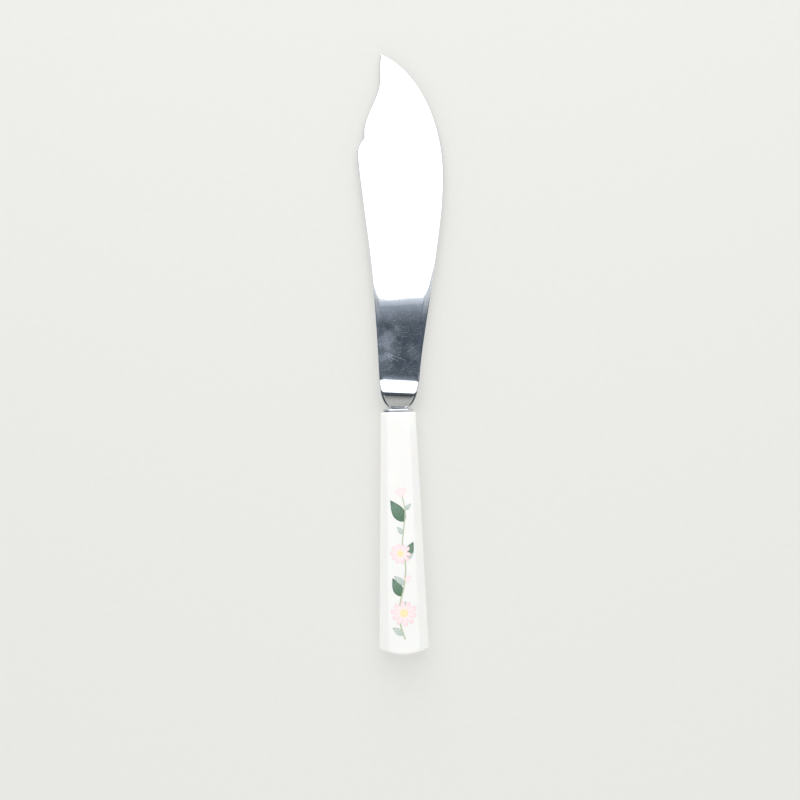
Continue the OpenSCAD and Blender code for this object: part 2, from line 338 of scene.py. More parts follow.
@dataclass(frozen=True)
class PolishedSteel:
    """Stainless steel, forged, ground and buffed: mirror-like, with fine lines, dust and handling marks.

    Real polish lines, dust and scratches are finer than the render shows, so they are drawn as coarse as
    they need to be to show.
    """

    name: str
    grain: Grain
    tint: str = "#CFD2D5"
    dust_tint: str = "#9FBAE6"
    scratch_tint: str = "#D9DCE2"
    roughness: float = 0.022
    roughness_spread: float = 0.2
    line_gap: float = 0.3
    line_run: float = 30.0
    line_height: float = 0.00015
    wave_size: float = 20.0
    wave_height: float = 0.008
    patch_size: float = 7.0
    patch_edge: Range = (0.4, 0.64)
    haze: float = 0.03
    grit_size: float = 0.7
    grit_floor: float = 0.5
    speck_gap: float = 0.95
    speck_edge: Range = (0.08, 0.26)
    speck_density: float = 0.48
    speck_missing: float = 0.1
    speck_outside: float = 0.5
    smudge_ragged: float = 2.4
    smudge_edge: Range = (-1.1, 0.1)
    hairline_width: float = 0.13
    smudges: tuple[Smudge, ...] = ()
    hairlines: tuple[Hairline, ...] = ()

    def material(self) -> Material:
        """Build the steel's material.

        Returns:
            The material: a mirror polish under fine lines, with a thin broken veil of dust and grease.
        """
        surface = Surface(self.name)
        add, coords = surface.add, surface.coords
        across, along = 1 / (self.line_gap * MM), 1 / (self.line_run * MM)
        scale = (across, along, across) if self.grain is Grain.LENGTHWISE else (along, across, across)
        stretched = add("ShaderNodeMapping", {"Vector": coords, "Scale": scale})
        lines = add(NOISE, {"Vector": stretched, "Scale": 1.0, "Detail": 3.0})
        patches = add(
            NOISE,
            {"Vector": coords, "Scale": 1 / (self.patch_size * MM), "Detail": 5.0, "Roughness": 0.65},
        )
        clean, dusty = self.patch_edge
        dust = add(MAP_RANGE, {0: patches, 1: clean, 2: dusty})
        speckle = self.specks(surface, dust)
        grit = add(NOISE, {"Vector": coords, "Scale": 1 / (self.grit_size * MM), "Detail": 3.0})
        grit = add(MAP_RANGE, {0: grit, **NOISE_SPAN, 3: self.grit_floor, 4: 1.0})
        haze = add(MATH, {0: dust, 1: grit}, operation="MULTIPLY")
        veil = add(MATH, {0: haze, 1: self.haze, 2: speckle}, operation="MULTIPLY_ADD")
        for smudge in self.smudges:
            veil = self.smudged(surface, smudge, patches, grit, veil)
        soft = veil
        for hairline in self.hairlines:
            veil = self.scratched(surface, hairline, patches, veil)
        scratch = add(MATH, {0: veil, 1: soft}, operation="SUBTRACT", use_clamp=True)
        bare = add(MATH, {0: 1.0, 1: veil}, operation="SUBTRACT", use_clamp=True)
        tone = add(MIX, {0: bare, 6: linear(self.dust_tint), 7: linear(self.tint)}, data_type="RGBA")
        tone = add(MIX, {0: scratch, 6: tone.outputs[2], 7: linear(self.scratch_tint)}, data_type="RGBA")
        smooth, rough = (self.roughness * (1 + sign * self.roughness_spread) for sign in (-1, 1))
        gloss = add(MAP_RANGE, {0: lines, **NOISE_SPAN, 3: smooth, 4: rough})
        waves = add(NOISE, {"Vector": coords, "Scale": 1 / (self.wave_size * MM), "Detail": 1.0})
        wavy = add(BUMP, {"Distance": self.wave_height * MM, "Height": waves})
        lined = add(BUMP, {"Distance": self.line_height * MM, "Height": lines, "Normal": wavy})
        return surface.close(
            {"Base Color": tone.outputs[2], "Metallic": bare, "Roughness": gloss, "Normal": lined}
        )

    def specks(self, surface: Surface, dust: Node) -> Node:
        """Scatter specks of dust, one to a cell, denser on the dusty patches.

        Args:
            surface: The material under construction.
            dust: How dusty the surface is.

        Returns:
            The density of the specks.
        """
        add, coords = surface.add, surface.coords
        gauge = 1 / (self.speck_gap * MM)
        cells = add(CELLS, {"Vector": coords, "Scale": gauge}, voronoi_dimensions="2D")
        core, reach = self.speck_edge
        dots = add(MAP_RANGE, {0: cells, 1: core, 2: reach, 3: 1.0, 4: 0.0})
        chance = add("ShaderNodeSeparateColor", {0: cells.outputs["Color"]})
        density = add(
            MAP_RANGE, {0: chance, 1: self.speck_missing, 2: 1.0, 3: 0.0, 4: self.speck_density}
        )
        spread = add(
            MATH, {0: dust, 1: 1 - self.speck_outside, 2: self.speck_outside}, operation="MULTIPLY_ADD"
        )
        dots = add(MATH, {0: dots, 1: density}, operation="MULTIPLY")
        return add(MATH, {0: dots, 1: spread}, operation="MULTIPLY")

    def smudged(self, surface: Surface, smudge: Smudge, patches: Node, grit: Node, veil: Node) -> Node:
        """Add one finger mark to the veil.

        Args:
            surface: The material under construction.
            smudge: The mark.
            patches: The noise that makes the mark ragged.
            grit: The noise that makes it grainy.
            veil: The veil so far.

        Returns:
            The veil with the mark.
        """
        add, coords = surface.add, surface.coords
        middle = (smudge.x * MM, smudge.y * MM, 0.0)
        gauge = (1 / (smudge.reach_x * MM), 1 / (smudge.reach_y * MM), 0.0)
        offset = add(VECTOR_MATH, {0: coords, 1: middle}, operation="SUBTRACT")
        share = add(VECTOR_MATH, {0: offset, 1: gauge}, operation="MULTIPLY")
        far = add(VECTOR_MATH, {0: share}, operation="LENGTH").outputs[1]
        ragged = add(MATH, {0: patches, 1: -self.smudge_ragged, 2: far}, operation="MULTIPLY_ADD")
        full, gone = self.smudge_edge
        mark = add(
            MAP_RANGE, {0: ragged, 1: full, 2: gone, 3: smudge.density, 4: 0.0},
            interpolation_type="SMOOTHSTEP",
        )
        return add(MATH, {0: mark, 1: grit, 2: veil}, operation="MULTIPLY_ADD")

    def scratched(self, surface: Surface, hairline: Hairline, patches: Node, veil: Node) -> Node:
        """Add one fine scratch, which scatters light like dust, to the veil.

        Args:
            surface: The material under construction.
            hairline: The scratch.
            patches: The noise that makes the scratch fade in and out.
            veil: The veil so far.

        Returns:
            The veil with the scratch.
        """
        add, coords = surface.add, surface.coords
        start = Vector((hairline.x0, hairline.y0, 0.0)) * MM
        run = Vector((hairline.x1, hairline.y1, 0.0)) * MM - start
        gauge = run / run.length_squared
        half = self.hairline_width / 2 * MM
        flat = add(VECTOR_MATH, {0: coords, 1: (1.0, 1.0, 0.0)}, operation="MULTIPLY")
        offset = add(VECTOR_MATH, {0: flat, 1: start}, operation="SUBTRACT")
        share = add(VECTOR_MATH, {0: offset, 1: gauge}, operation="DOT_PRODUCT").outputs[1]
        share = add(MATH, {0: share, 1: 0.0}, operation="ADD", use_clamp=True)
        foot = add(VECTOR_MATH, {0: run, "Scale": share}, operation="SCALE")
        far = add(VECTOR_MATH, {0: offset, 1: foot}, operation="DISTANCE").outputs[1]
        line = add(MAP_RANGE, {0: far, 1: half / 2, 2: half, 3: hairline.density, 4: 0.0})
        return add(MATH, {0: line, 1: patches, 2: veil}, operation="MULTIPLY_ADD")


@dataclass(frozen=True)
class GlazedChina:
    """Slip-cast bone china under a clear fired glaze: warm white, slightly translucent, wet-looking."""

    name: str = "glazed_bone_china"
    body: str = "#F7F7F6"
    shade: str = "#F2F2F0"
    cloud_size: float = 16.0
    ripple_size: float = 5.0
    ripple_height: float = 0.004
    pinhole_gap: float = 5.0
    pinhole_edge: Range = (0.02, 0.05)
    roughness: Range = (0.06, 0.12)
    translucency: float = 0.25
    scatter_depth: float = 1.5
    scatter_tint: Triple = (1.0, 0.75, 0.5)

    def material(self) -> Material:
        """Build the china's material.

        Returns:
            The material, with a faint cloudiness in the body and a slow ripple in the glaze.
        """
        surface = Surface(self.name)
        add, coords = surface.add, surface.coords
        clouds = add(NOISE, {"Vector": coords, "Scale": 1 / (self.cloud_size * MM), "Detail": 5.0})
        tone = add(MIX, {0: clouds, 6: linear(self.body), 7: linear(self.shade)}, data_type="RGBA")
        smooth, rough = self.roughness
        gloss = add(MAP_RANGE, {0: clouds, **NOISE_SPAN, 3: smooth, 4: rough})
        ripples = add(NOISE, {"Vector": coords, "Scale": 1 / (self.ripple_size * MM), "Detail": 1.0})
        cells = add(CELLS, {"Vector": coords, "Scale": 1 / (self.pinhole_gap * MM)})
        core, reach = self.pinhole_edge
        pinholes = add(MAP_RANGE, {0: cells, 1: core, 2: reach, 3: -1.0, 4: 0.0})
        height = add(MATH, {0: ripples, 1: pinholes}, operation="ADD")
        bump = add(BUMP, {"Distance": self.ripple_height * MM, "Height": height})
        return surface.close({
            "Base Color": tone.outputs[2],
            "Roughness": gloss,
            "Normal": bump,
            "IOR": GLASS_IOR,
            "Subsurface Weight": self.translucency,
            "Subsurface Radius": self.scatter_tint,
            "Subsurface Scale": self.scatter_depth * MM,
        })


@dataclass(frozen=True)
class FiredEnamel:
    """On-glaze enamel, printed and fired: a thin raised film with soft gloss and printed veins."""

    name: str
    base: Ink
    tip: Ink
    rim: Ink
    veins: Veins
    line_count: float = 1.0
    line_share: float = 0.3
    line_edge: Range = (0.06, 0.2)
    line_slant: float = 0.22
    rib_gain: float = 3.0
    rim_start: float = 0.72
    rim_share: float = 0.85
    mottle_size: float = 0.8
    mottle_depth: float = 0.5
    roughness: Range = (0.14, 0.24)

    def material(self) -> Material:
        """Build the enamel's material.

        Returns:
            The material, which reads where a point lies along and across its printed shape.
        """
        surface = Surface(self.name)
        add, coords = surface.add, surface.coords
        along = add("ShaderNodeAttribute", attribute_name="along").outputs["Fac"]
        across = add("ShaderNodeAttribute", attribute_name="across").outputs["Fac"]
        side = add(MATH, {0: across}, operation="ABSOLUTE")
        mottle = add(NOISE, {"Vector": coords, "Scale": 1 / (self.mottle_size * MM), "Detail": 2.0})
        blend = add(
            MATH, {0: mottle, 1: self.mottle_depth, 2: -self.mottle_depth / 2}, operation="MULTIPLY_ADD"
        )
        blend = add(MATH, {0: blend, 1: along}, operation="ADD", use_clamp=True)
        tone = add(
            MIX, {0: blend, 6: linear(self.base.value), 7: linear(self.tip.value)}, data_type="RGBA"
        )
        feathered = self.veins is Veins.FEATHER
        course = across
        if feathered:
            course = add(MATH, {0: side, 1: -self.line_slant, 2: along}, operation="MULTIPLY_ADD")
        phase = add(MATH, {0: course, 1: self.line_count}, operation="MULTIPLY")
        ridge = add(MATH, {0: phase, 1: 0.5}, operation="PINGPONG")
        if feathered:
            rib = add(MATH, {0: side, 1: self.rib_gain}, operation="MULTIPLY")
            ridge = add(MATH, {0: ridge, 1: rib}, operation="MINIMUM")
        core, reach = self.line_edge
        line = add(MAP_RANGE, {0: ridge, 1: core, 2: reach, 3: self.line_share, 4: 0.0})
        border = add(MATH, {0: side, 1: along}, operation="MAXIMUM")
        rimmed = add(MAP_RANGE, {0: border, 1: self.rim_start, 2: 1.0, 3: 0.0, 4: self.rim_share})
        for share in (line, rimmed):
            tone = add(MIX, {0: share, 6: tone.outputs[2], 7: linear(self.rim.value)}, data_type="RGBA")
        smooth, rough = self.roughness
        gloss = add(MAP_RANGE, {0: mottle, **NOISE_SPAN, 3: smooth, 4: rough})
        return surface.close({"Base Color": tone.outputs[2], "Roughness": gloss, "IOR": GLASS_IOR})


@dataclass(frozen=True)
class SettingCement:
    """Cast gypsum-like setting cement: chalky, with sand grains and pores."""

    name: str = "cast_setting_cement"
    paste: str = "#CFCBC0"
    grit: str = "#A9A497"
    grain_size: float = 0.9
    grain_depth: float = 0.1
    roughness: float = 0.9

    def material(self) -> Material:
        """Build the cement's material.

        Returns:
            The material, matte and grainy.
        """
        surface = Surface(self.name)
        add, coords = surface.add, surface.coords
        grains = add(NOISE, {"Vector": coords, "Scale": 1 / (self.grain_size * MM), "Detail": 4.0})
        tone = add(MIX, {0: grains, 6: linear(self.paste), 7: linear(self.grit)}, data_type="RGBA")
        bump = add(BUMP, {"Distance": self.grain_depth * MM, "Height": grains})
        return surface.close({"Base Color": tone.outputs[2], "Normal": bump, "Roughness": self.roughness})


@dataclass(frozen=True)
class CardStock:
    """Matte studio card or opal sheet: an even tint with a faint fibre mottle, lit from behind or not."""

    name: str
    tint: str
    fibre: str
    fibre_size: float = 3.0
    glow: float = 0.0
    glow_tint: str = "#F6F6F2"
    roughness: float = 0.75

    def material(self) -> Material:
        """Build the card's material.

        Returns:
            The material.
        """
        surface = Surface(self.name)
        add, coords = surface.add, surface.coords
        fibres = add(NOISE, {"Vector": coords, "Scale": 1 / (self.fibre_size * MM), "Detail": 4.0})
        tone = add(MIX, {0: fibres, 6: linear(self.tint), 7: linear(self.fibre)}, data_type="RGBA")
        return surface.close({
            "Base Color": tone.outputs[2],
            "Roughness": self.roughness,
            "Emission Color": linear(self.glow_tint),
            "Emission Strength": self.glow,
        })


@dataclass(frozen=True)
class GradedCard:
    """Matte studio card sprayed from dark to pale along one direction of the row frame."""

    name: str
    dark_end: float
    pale_end: float
    dark: str = "#525F6E"
    pale: str = "#E4EAF6"
    falloff: float = 2.5
    glow: float = 0.0
    streak_gap: float = 7.0
    streak_run: float = 160.0
    streak_depth: float = 0.16
    way: Triple = (0.0, 1.0, 0.0)
    roughness: float = 0.75

    def material(self) -> Material:
        """Build the card's material.

        Returns:
            The material, whose tone fades behind its pale edge in uneven streaks.
        """
        surface = Surface(self.name)
        add, coords = surface.add, surface.coords
        along = add(VECTOR_MATH, {0: coords, 1: self.way}, operation="DOT_PRODUCT").outputs[1]
        share = add(MAP_RANGE, {0: along, 1: self.dark_end * MM, 2: self.pale_end * MM})
        gauge = (1 / (self.streak_run * MM), 1 / (self.streak_gap * MM), 0.0)
        stretched = add("ShaderNodeMapping", {"Vector": coords, "Scale": gauge})
        streaks = add(NOISE, {"Vector": stretched, "Scale": 1.0, "Detail": 2.0})
        thin, thick = 1.0 - self.streak_depth, 1.0 + self.streak_depth
        streaks = add(MAP_RANGE, {0: streaks, **NOISE_SPAN, 3: thin, 4: thick})
        share = add(MATH, {0: share, 1: streaks}, operation="MULTIPLY")
        share = add(MATH, {0: share, 1: self.falloff}, operation="POWER")
        tone = add(MIX, {0: share, 6: linear(self.dark), 7: linear(self.pale)}, data_type="RGBA")
        shine = add(MATH, {0: share, 1: self.glow}, operation="MULTIPLY")
        return surface.close({
            "Base Color": tone.outputs[2],
            "Roughness": self.roughness,
            "Emission Color": linear(self.pale),
            "Emission Strength": shine,
        })


@dataclass(frozen=True)
class Lie:
    """How the knife lies on the table, on the lower facet of its handle."""

    slope: float
    mouth: Vector

    def knife(self) -> Matrix:
        """Give the way from the knife's frame, in millimetres, to the row frame."""
        return Matrix.Translation(self.mouth) @ Matrix.Rotation(-self.slope, 4, "X") @ Matrix.Scale(MM, 4)

    def upper_facet(self, rise: float) -> Matrix:
        """Give the way from the upper facet's own plane to the row frame.

        Args:
            rise: The height of the facet above the axis at the mouth, in millimetres.

        Returns:
            The matrix, for points with X across, Y towards the tip and Z out of the facet.
        """
        lift = Matrix.Translation((0.0, 0.0, rise)) @ Matrix.Rotation(-self.slope, 4, "X")
        return self.knife() @ lift


class PieceTree:
    """A Geometry Nodes tree with named inputs that turns a few guide points into one finished piece."""

    def __init__(self, name: str, inputs: dict[Socket, tuple[str, ...]]) -> None:
        """Start the tree with its inputs.

        Args:
            name: The tree's name.
            inputs: The names of the inputs of each kind.
        """
        self.tree = bpy.data.node_groups.new(name, "GeometryNodeTree")
        self.sockets: dict[str, str] = {}
        kinds = {label: kind.value for kind, labels in inputs.items() for label in labels}
        for label, kind in {"Guide": "NodeSocketGeometry", **kinds, "Finish": "NodeSocketMaterial"}.items():
            item = self.tree.interface.new_socket(name=label, in_out="INPUT", socket_type=kind)
            self.sockets[label] = item.identifier
        self.tree.interface.new_socket(name="Piece", in_out="OUTPUT", socket_type="NodeSocketGeometry")
        self.given = add_node(self.tree, "NodeGroupInput").outputs

    def add(self, kind: str, inputs: Inputs | None = None, **settings: Any) -> Node:
        """Add one node to this tree."""
        return add_node(self.tree, kind, inputs, **settings)

    def close(self, piece: Node) -> None:
        """End the tree in Realize Instances and Set Material.

        Args:
            piece: The node whose first output is the piece.
        """
        real = self.add("GeometryNodeRealizeInstances", {"Geometry": piece})
        smooth = self.add("GeometryNodeSetShadeSmooth", {"Geometry": real})
        done = self.add("GeometryNodeSetMaterial", {"Geometry": smooth, "Material": self.given["Finish"]})
        self.add("NodeGroupOutput", {0: done})

    def make(
        self,
        name: str,
        guide: list[Vector],
        values: dict[str, Any],
        finish: Material,
        matrix: Matrix,
        measures: list[float] | None = None,
    ) -> Object:
        """Run the tree and keep its result as a plain mesh.

        Args:
            name: The piece's name.
            guide: The guide points, joined in a row by edges.
            values: A value for each named input.
            finish: The piece's material.
            matrix: The way from the guide's frame to the row frame.
            measures: A number for each guide point, which the tree reads as the attribute "measure".

        Returns:
            The finished object.
        """
        host = bpy.data.meshes.new(name + "_guide")
        host.from_pydata(guide, [(i, i + 1) for i in range(len(guide) - 1)], [])
        if measures:
            host.attributes.new("measure", "FLOAT", "POINT").data.foreach_set("value", measures)
        piece = bpy.data.objects.new(name, host)
        bpy.context.scene.collection.objects.link(piece)
        modifier = piece.modifiers.new(name, "NODES")
        modifier.node_group = self.tree
        for label, value in {**values, "Finish": finish}.items():
            modifier[self.sockets[label]] = value
        state = bpy.context.evaluated_depsgraph_get()
        mesh = bpy.data.meshes.new_from_object(piece.evaluated_get(state), depsgraph=state)
        piece.modifiers.remove(modifier)
        close_mesh(mesh, sharp=FILM_CREASE)
        mesh.transform(matrix)
        piece.data = mesh
        bpy.data.meshes.remove(host)
        return piece


def facet_sweep() -> PieceTree:
    """Make the tree that sweeps a soft eight-sided section along the handle's axis.

    Each guide point is one row of the sweep: how far the section is drawn in, its height along the axis
    and a scale. Every facet is a plane at some distance from the axis, and a high power blends the planes
    into one ring with softly glazed edges. A row's measure tells how far the row is bent to the dome of
    the butt.

    Returns:
        The tree.
    """
    sizes = (
        "Length", "Mouth Side", "Butt Side", "Mouth Top", "Butt Top", "Mouth Corner", "Butt Corner",
        "Corner Slope", "Edge Power", "Dome Radius", "Core Rise", "Rim Rise",
    )
    sweep = PieceTree("facet_sweep", {Socket.COUNT: ("Rows", "Columns"), Socket.REAL: sizes})
    add, given = sweep.add, sweep.given
    grid = add("GeometryNodeMeshGrid", {"Vertices X": given["Columns"], "Vertices Y": given["Rows"]})
    index = add("GeometryNodeInputIndex")
    column = add("FunctionNodeIntegerMath", {0: index, 1: given["Rows"]}, operation="DIVIDE_FLOOR")
    row = add("FunctionNodeIntegerMath", {0: index, 1: given["Rows"]}, operation="MODULO")
    spot = add("GeometryNodeInputPosition")
    profile = add(
        "GeometryNodeSampleIndex", {0: given["Guide"], 1: spot, 2: row}, data_type="FLOAT_VECTOR"
    )
    guide = add("ShaderNodeSeparateXYZ", {0: profile}).outputs
    last = add(MATH, {0: given["Columns"], 1: 1.0}, operation="SUBTRACT")
    share = add(MATH, {0: column, 1: last}, operation="DIVIDE")
    angle = add(MATH, {0: share, 1: 2 * math.pi}, operation="MULTIPLY")
    cosine = add(MATH, {0: angle}, operation="COSINE")
    sine = add(MATH, {0: angle}, operation="SINE")
    sideways = add(MATH, {0: cosine}, operation="ABSOLUTE")
    upwards = add(MATH, {0: sine}, operation="ABSOLUTE")
    below = add(MATH, {0: guide[1], 1: -1.0}, operation="MULTIPLY")
    along = add(MATH, {0: below, 1: given["Length"]}, operation="DIVIDE")
    slope_sine = add(MATH, {0: given["Corner Slope"]}, operation="SINE")
    slope_cosine = add(MATH, {0: given["Corner Slope"]}, operation="COSINE")
    slant = add(MATH, {0: sideways, 1: slope_sine}, operation="MULTIPLY")
    slant = add(MATH, {0: upwards, 1: slope_cosine, 2: slant}, operation="MULTIPLY_ADD")
    total = None
    for facet, reach in (("Side", sideways), ("Top", upwards), ("Corner", slant)):
        mouth, butt = given["Mouth " + facet], given["Butt " + facet]
        far = add(MIX, {0: along, 2: mouth, 3: butt}, clamp_factor=False)
        far = add(MATH, {0: far, 1: guide[0]}, operation="SUBTRACT")
        ratio = add(MATH, {0: reach, 1: far}, operation="DIVIDE")
        term = add(MATH, {0: ratio, 1: given["Edge Power"]}, operation="POWER")
        total = add(MATH, {0: term, 1: total}, operation="ADD") if total else term
    root = add(MATH, {0: 1.0, 1: given["Edge Power"]}, operation="DIVIDE")
    blend = add(MATH, {0: total, 1: root}, operation="POWER")
    radius = add(MATH, {0: guide[2], 1: blend}, operation="DIVIDE")
    x = add(MATH, {0: radius, 1: cosine}, operation="MULTIPLY")
    z = add(MATH, {0: radius, 1: sine}, operation="MULTIPLY")
    bend = add("GeometryNodeInputNamedAttribute", {"Name": "measure"}, data_type="FLOAT")
    bent = add("GeometryNodeSampleIndex", {0: given["Guide"], 1: bend, 2: row}, data_type="FLOAT")
    square = add(MATH, {0: radius, 1: radius}, operation="MULTIPLY")
    dome = add(MATH, {0: square, 1: given["Dome Radius"]}, operation="DIVIDE")
    dome = add(MATH, {0: dome, 1: 0.5}, operation="MULTIPLY")
    dome = add(MATH, {0: dome, 1: given["Core Rise"]}, operation="SUBTRACT")
    dome = add(MATH, {0: dome, 1: 0.0}, operation="MAXIMUM")
    dome = add(MATH, {0: dome, 1: given["Rim Rise"]}, operation="SUBTRACT")
    y = add(MATH, {0: dome, 1: bent, 2: guide[1]}, operation="MULTIPLY_ADD")
    point = add("ShaderNodeCombineXYZ", {0: x, 1: y, 2: z})
    shaped = add("GeometryNodeSetPosition", {"Geometry": grid, "Position": point})
    sweep.close(add("GeometryNodeMergeByDistance", {"Geometry": shaped, "Distance": DOUBLE}))
    return sweep


def trailing_stem(rows: int = 160, columns: int = 10) -> PieceTree:
    """Make the tree that draws a thin tapered stem along the guide points.

    Args:
        rows: The number of points along the stem.
        columns: The number of points round it.

    Returns:
        The tree.
    """
    stem = PieceTree("trailing_stem", {Socket.REAL: ("Thickness", "Taper", "Flatness")})
    add, given = stem.add, stem.given
    path = add("GeometryNodeMeshToCurve", {"Mesh": given["Guide"]})
    smooth = add("GeometryNodeCurveSplineType", {"Curve": path}, spline_type="CATMULL_ROM")
    fine = add("GeometryNodeResampleCurve", {"Curve": smooth, "Count": rows})
    along = add("GeometryNodeSplineParameter").outputs["Factor"]
    width = add(MIX, {0: along, 2: 1.0, 3: given["Taper"]})
    half = add(MATH, {0: given["Thickness"], 1: 2.0}, operation="DIVIDE")
    ring = add("GeometryNodeCurvePrimitiveCircle", {"Resolution": columns, "Radius": half})
    tube = add(
        "GeometryNodeCurveToMesh",
        {"Curve": fine, "Profile Curve": ring.outputs[0], "Scale": width, "Fill Caps": True},
    )
    flat = add("ShaderNodeCombineXYZ", {0: 1.0, 1: 1.0, 2: given["Flatness"]})
    stem.close(add("GeometryNodeTransform", {"Geometry": tube, "Scale": flat}))
    return stem


def leaf_row() -> PieceTree:
    """Make the tree that sets leaves along the guide points, left and right in turn.

    Returns:
        The tree.
    """
    shares = ("Start", "End", "Spread", "First Scale", "Last Scale")
    leaves = PieceTree(
        "leaf_row", {Socket.SHAPE: ("Leaf",), Socket.COUNT: ("Count", "Seed"), Socket.REAL: shares}
    )
    add, given = leaves.add, leaves.given
    path = add("GeometryNodeMeshToCurve", {"Mesh": given["Guide"]})
    smooth = add("GeometryNodeCurveSplineType", {"Curve": path}, spline_type="CATMULL_ROM")
    kept = add("GeometryNodeTrimCurve", {"Curve": smooth, "Start": given["Start"], "End": given["End"]})
    spots = add("GeometryNodeResampleCurve", {"Curve": kept, "Count": given["Count"]})
    index = add("GeometryNodeInputIndex")
    parity = add("FunctionNodeIntegerMath", {0: index, 1: 2}, operation="MODULO")
    side = add(MATH, {0: parity, 1: -2.0, 2: 1.0}, operation="MULTIPLY_ADD")
    swing = add("FunctionNodeRandomValue", {2: SWING[0], 3: SWING[1], "Seed": given["Seed"]})
    spread = add(MATH, {0: given["Spread"], 1: swing.outputs[1]}, operation="MULTIPLY")
    offset = add(MATH, {0: spread, 1: side}, operation="MULTIPLY")
    tangent = add("ShaderNodeSeparateXYZ", {0: add("GeometryNodeInputTangent")}).outputs
    heading = add(MATH, {0: tangent[1], 1: tangent[0]}, operation="ARCTAN2")
    heading = add(MATH, {0: heading, 1: math.pi / 2}, operation="SUBTRACT")
    turn = add(MATH, {0: heading, 1: offset}, operation="ADD")
    angles = add("ShaderNodeCombineXYZ", {0: 0.0, 1: 0.0, 2: turn})
    along = add("GeometryNodeSplineParameter").outputs["Factor"]
    size = add(MIX, {0: along, 2: given["First Scale"], 3: given["Last Scale"]})
    vary = add("FunctionNodeRandomValue", {2: LEAF_SIZES[0], 3: LEAF_SIZES[1], "Seed": given["Seed"]})
    size = add(MATH, {0: size, 1: vary.outputs[1]}, operation="MULTIPLY")
    shape = add("GeometryNodeObjectInfo", {"Object": given["Leaf"], "As Instance": True})
    row = add(
        "GeometryNodeInstanceOnPoints",
        {"Points": spots, "Instance": shape.outputs["Geometry"], "Rotation": angles, "Scale": size},
    )
    leaves.close(row)
    return leaves


def rosette() -> PieceTree:
    """Make the tree that sets petals in a ring, or in an arc of one, at every guide point.

    Returns:
        The tree.
    """
    turns = ("Pitch", "First Turn", "Turn Range")
    blossoms = PieceTree(
        "rosette", {Socket.SHAPE: ("Petal",), Socket.COUNT: ("Petals", "Seed"), Socket.REAL: turns}
    )
    add, given = blossoms.add, blossoms.given
    ring = add("GeometryNodePoints", {"Count": given["Petals"]})
    index = add("GeometryNodeInputIndex")
    turn = add(MATH, {0: index, 1: given["Pitch"], 2: given["First Turn"]}, operation="MULTIPLY_ADD")
    angles = add("ShaderNodeCombineXYZ", {0: 0.0, 1: 0.0, 2: turn})
    vary = add("FunctionNodeRandomValue", {2: PETAL_SIZES[0], 3: PETAL_SIZES[1], "Seed": given["Seed"]})
    shape = add("GeometryNodeObjectInfo", {"Object": given["Petal"], "As Instance": True})
    one = add(
        "GeometryNodeInstanceOnPoints",
        {"Points": ring, "Instance": shape.outputs["Geometry"], "Rotation": angles, "Scale": vary.outputs[1]},
    )
    size = add("GeometryNodeInputNamedAttribute", {"Name": "measure"}, data_type="FLOAT")
    spin = add("FunctionNodeRandomValue", {2: 0.0, 3: given["Turn Range"], "Seed": given["Seed"]})
    spun = add("ShaderNodeCombineXYZ", {0: 0.0, 1: 0.0, 2: spin.outputs[1]})
    every = add(
        "GeometryNodeInstanceOnPoints",
        {"Points": given["Guide"], "Instance": one, "Rotation": spun, "Scale": size},
    )
    blossoms.close(every)
    return blossoms


def stipple() -> PieceTree:
    """Make the tree that sets a sunflower spiral of small dots at every guide point.

    Returns:
        The tree.
    """
    sizes = ("Dot Radius", "Spacing", "Flatness")
    dots = PieceTree("stipple", {Socket.COUNT: ("Dots",), Socket.REAL: sizes})
    add, given = dots.add, dots.given
    golden_turn = math.pi * (3 - math.sqrt(5))
    index = add("GeometryNodeInputIndex")
    angle = add(MATH, {0: index, 1: golden_turn}, operation="MULTIPLY")
    root = add(MATH, {0: index}, operation="SQRT")
    radius = add(MATH, {0: root, 1: given["Spacing"]}, operation="MULTIPLY")
    cosine = add(MATH, {0: angle}, operation="COSINE")
    sine = add(MATH, {0: angle}, operation="SINE")
    x = add(MATH, {0: radius, 1: cosine}, operation="MULTIPLY")
    y = add(MATH, {0: radius, 1: sine}, operation="MULTIPLY")
    point = add("ShaderNodeCombineXYZ", {0: x, 1: y, 2: 0.0})
    cloud = add("GeometryNodePoints", {"Count": given["Dots"], "Position": point})
    ball = add("GeometryNodeMeshIcoSphere", {"Radius": given["Dot Radius"], "Subdivisions": 2})
    flat = add("ShaderNodeCombineXYZ", {0: 1.0, 1: 1.0, 2: given["Flatness"]})
    one = add("GeometryNodeInstanceOnPoints", {"Points": cloud, "Instance": ball, "Scale": flat})
    size = add("GeometryNodeInputNamedAttribute", {"Name": "measure"}, data_type="FLOAT")
    every = add("GeometryNodeInstanceOnPoints", {"Points": given["Guide"], "Instance": one, "Scale": size})
    dots.close(every)
    return dots


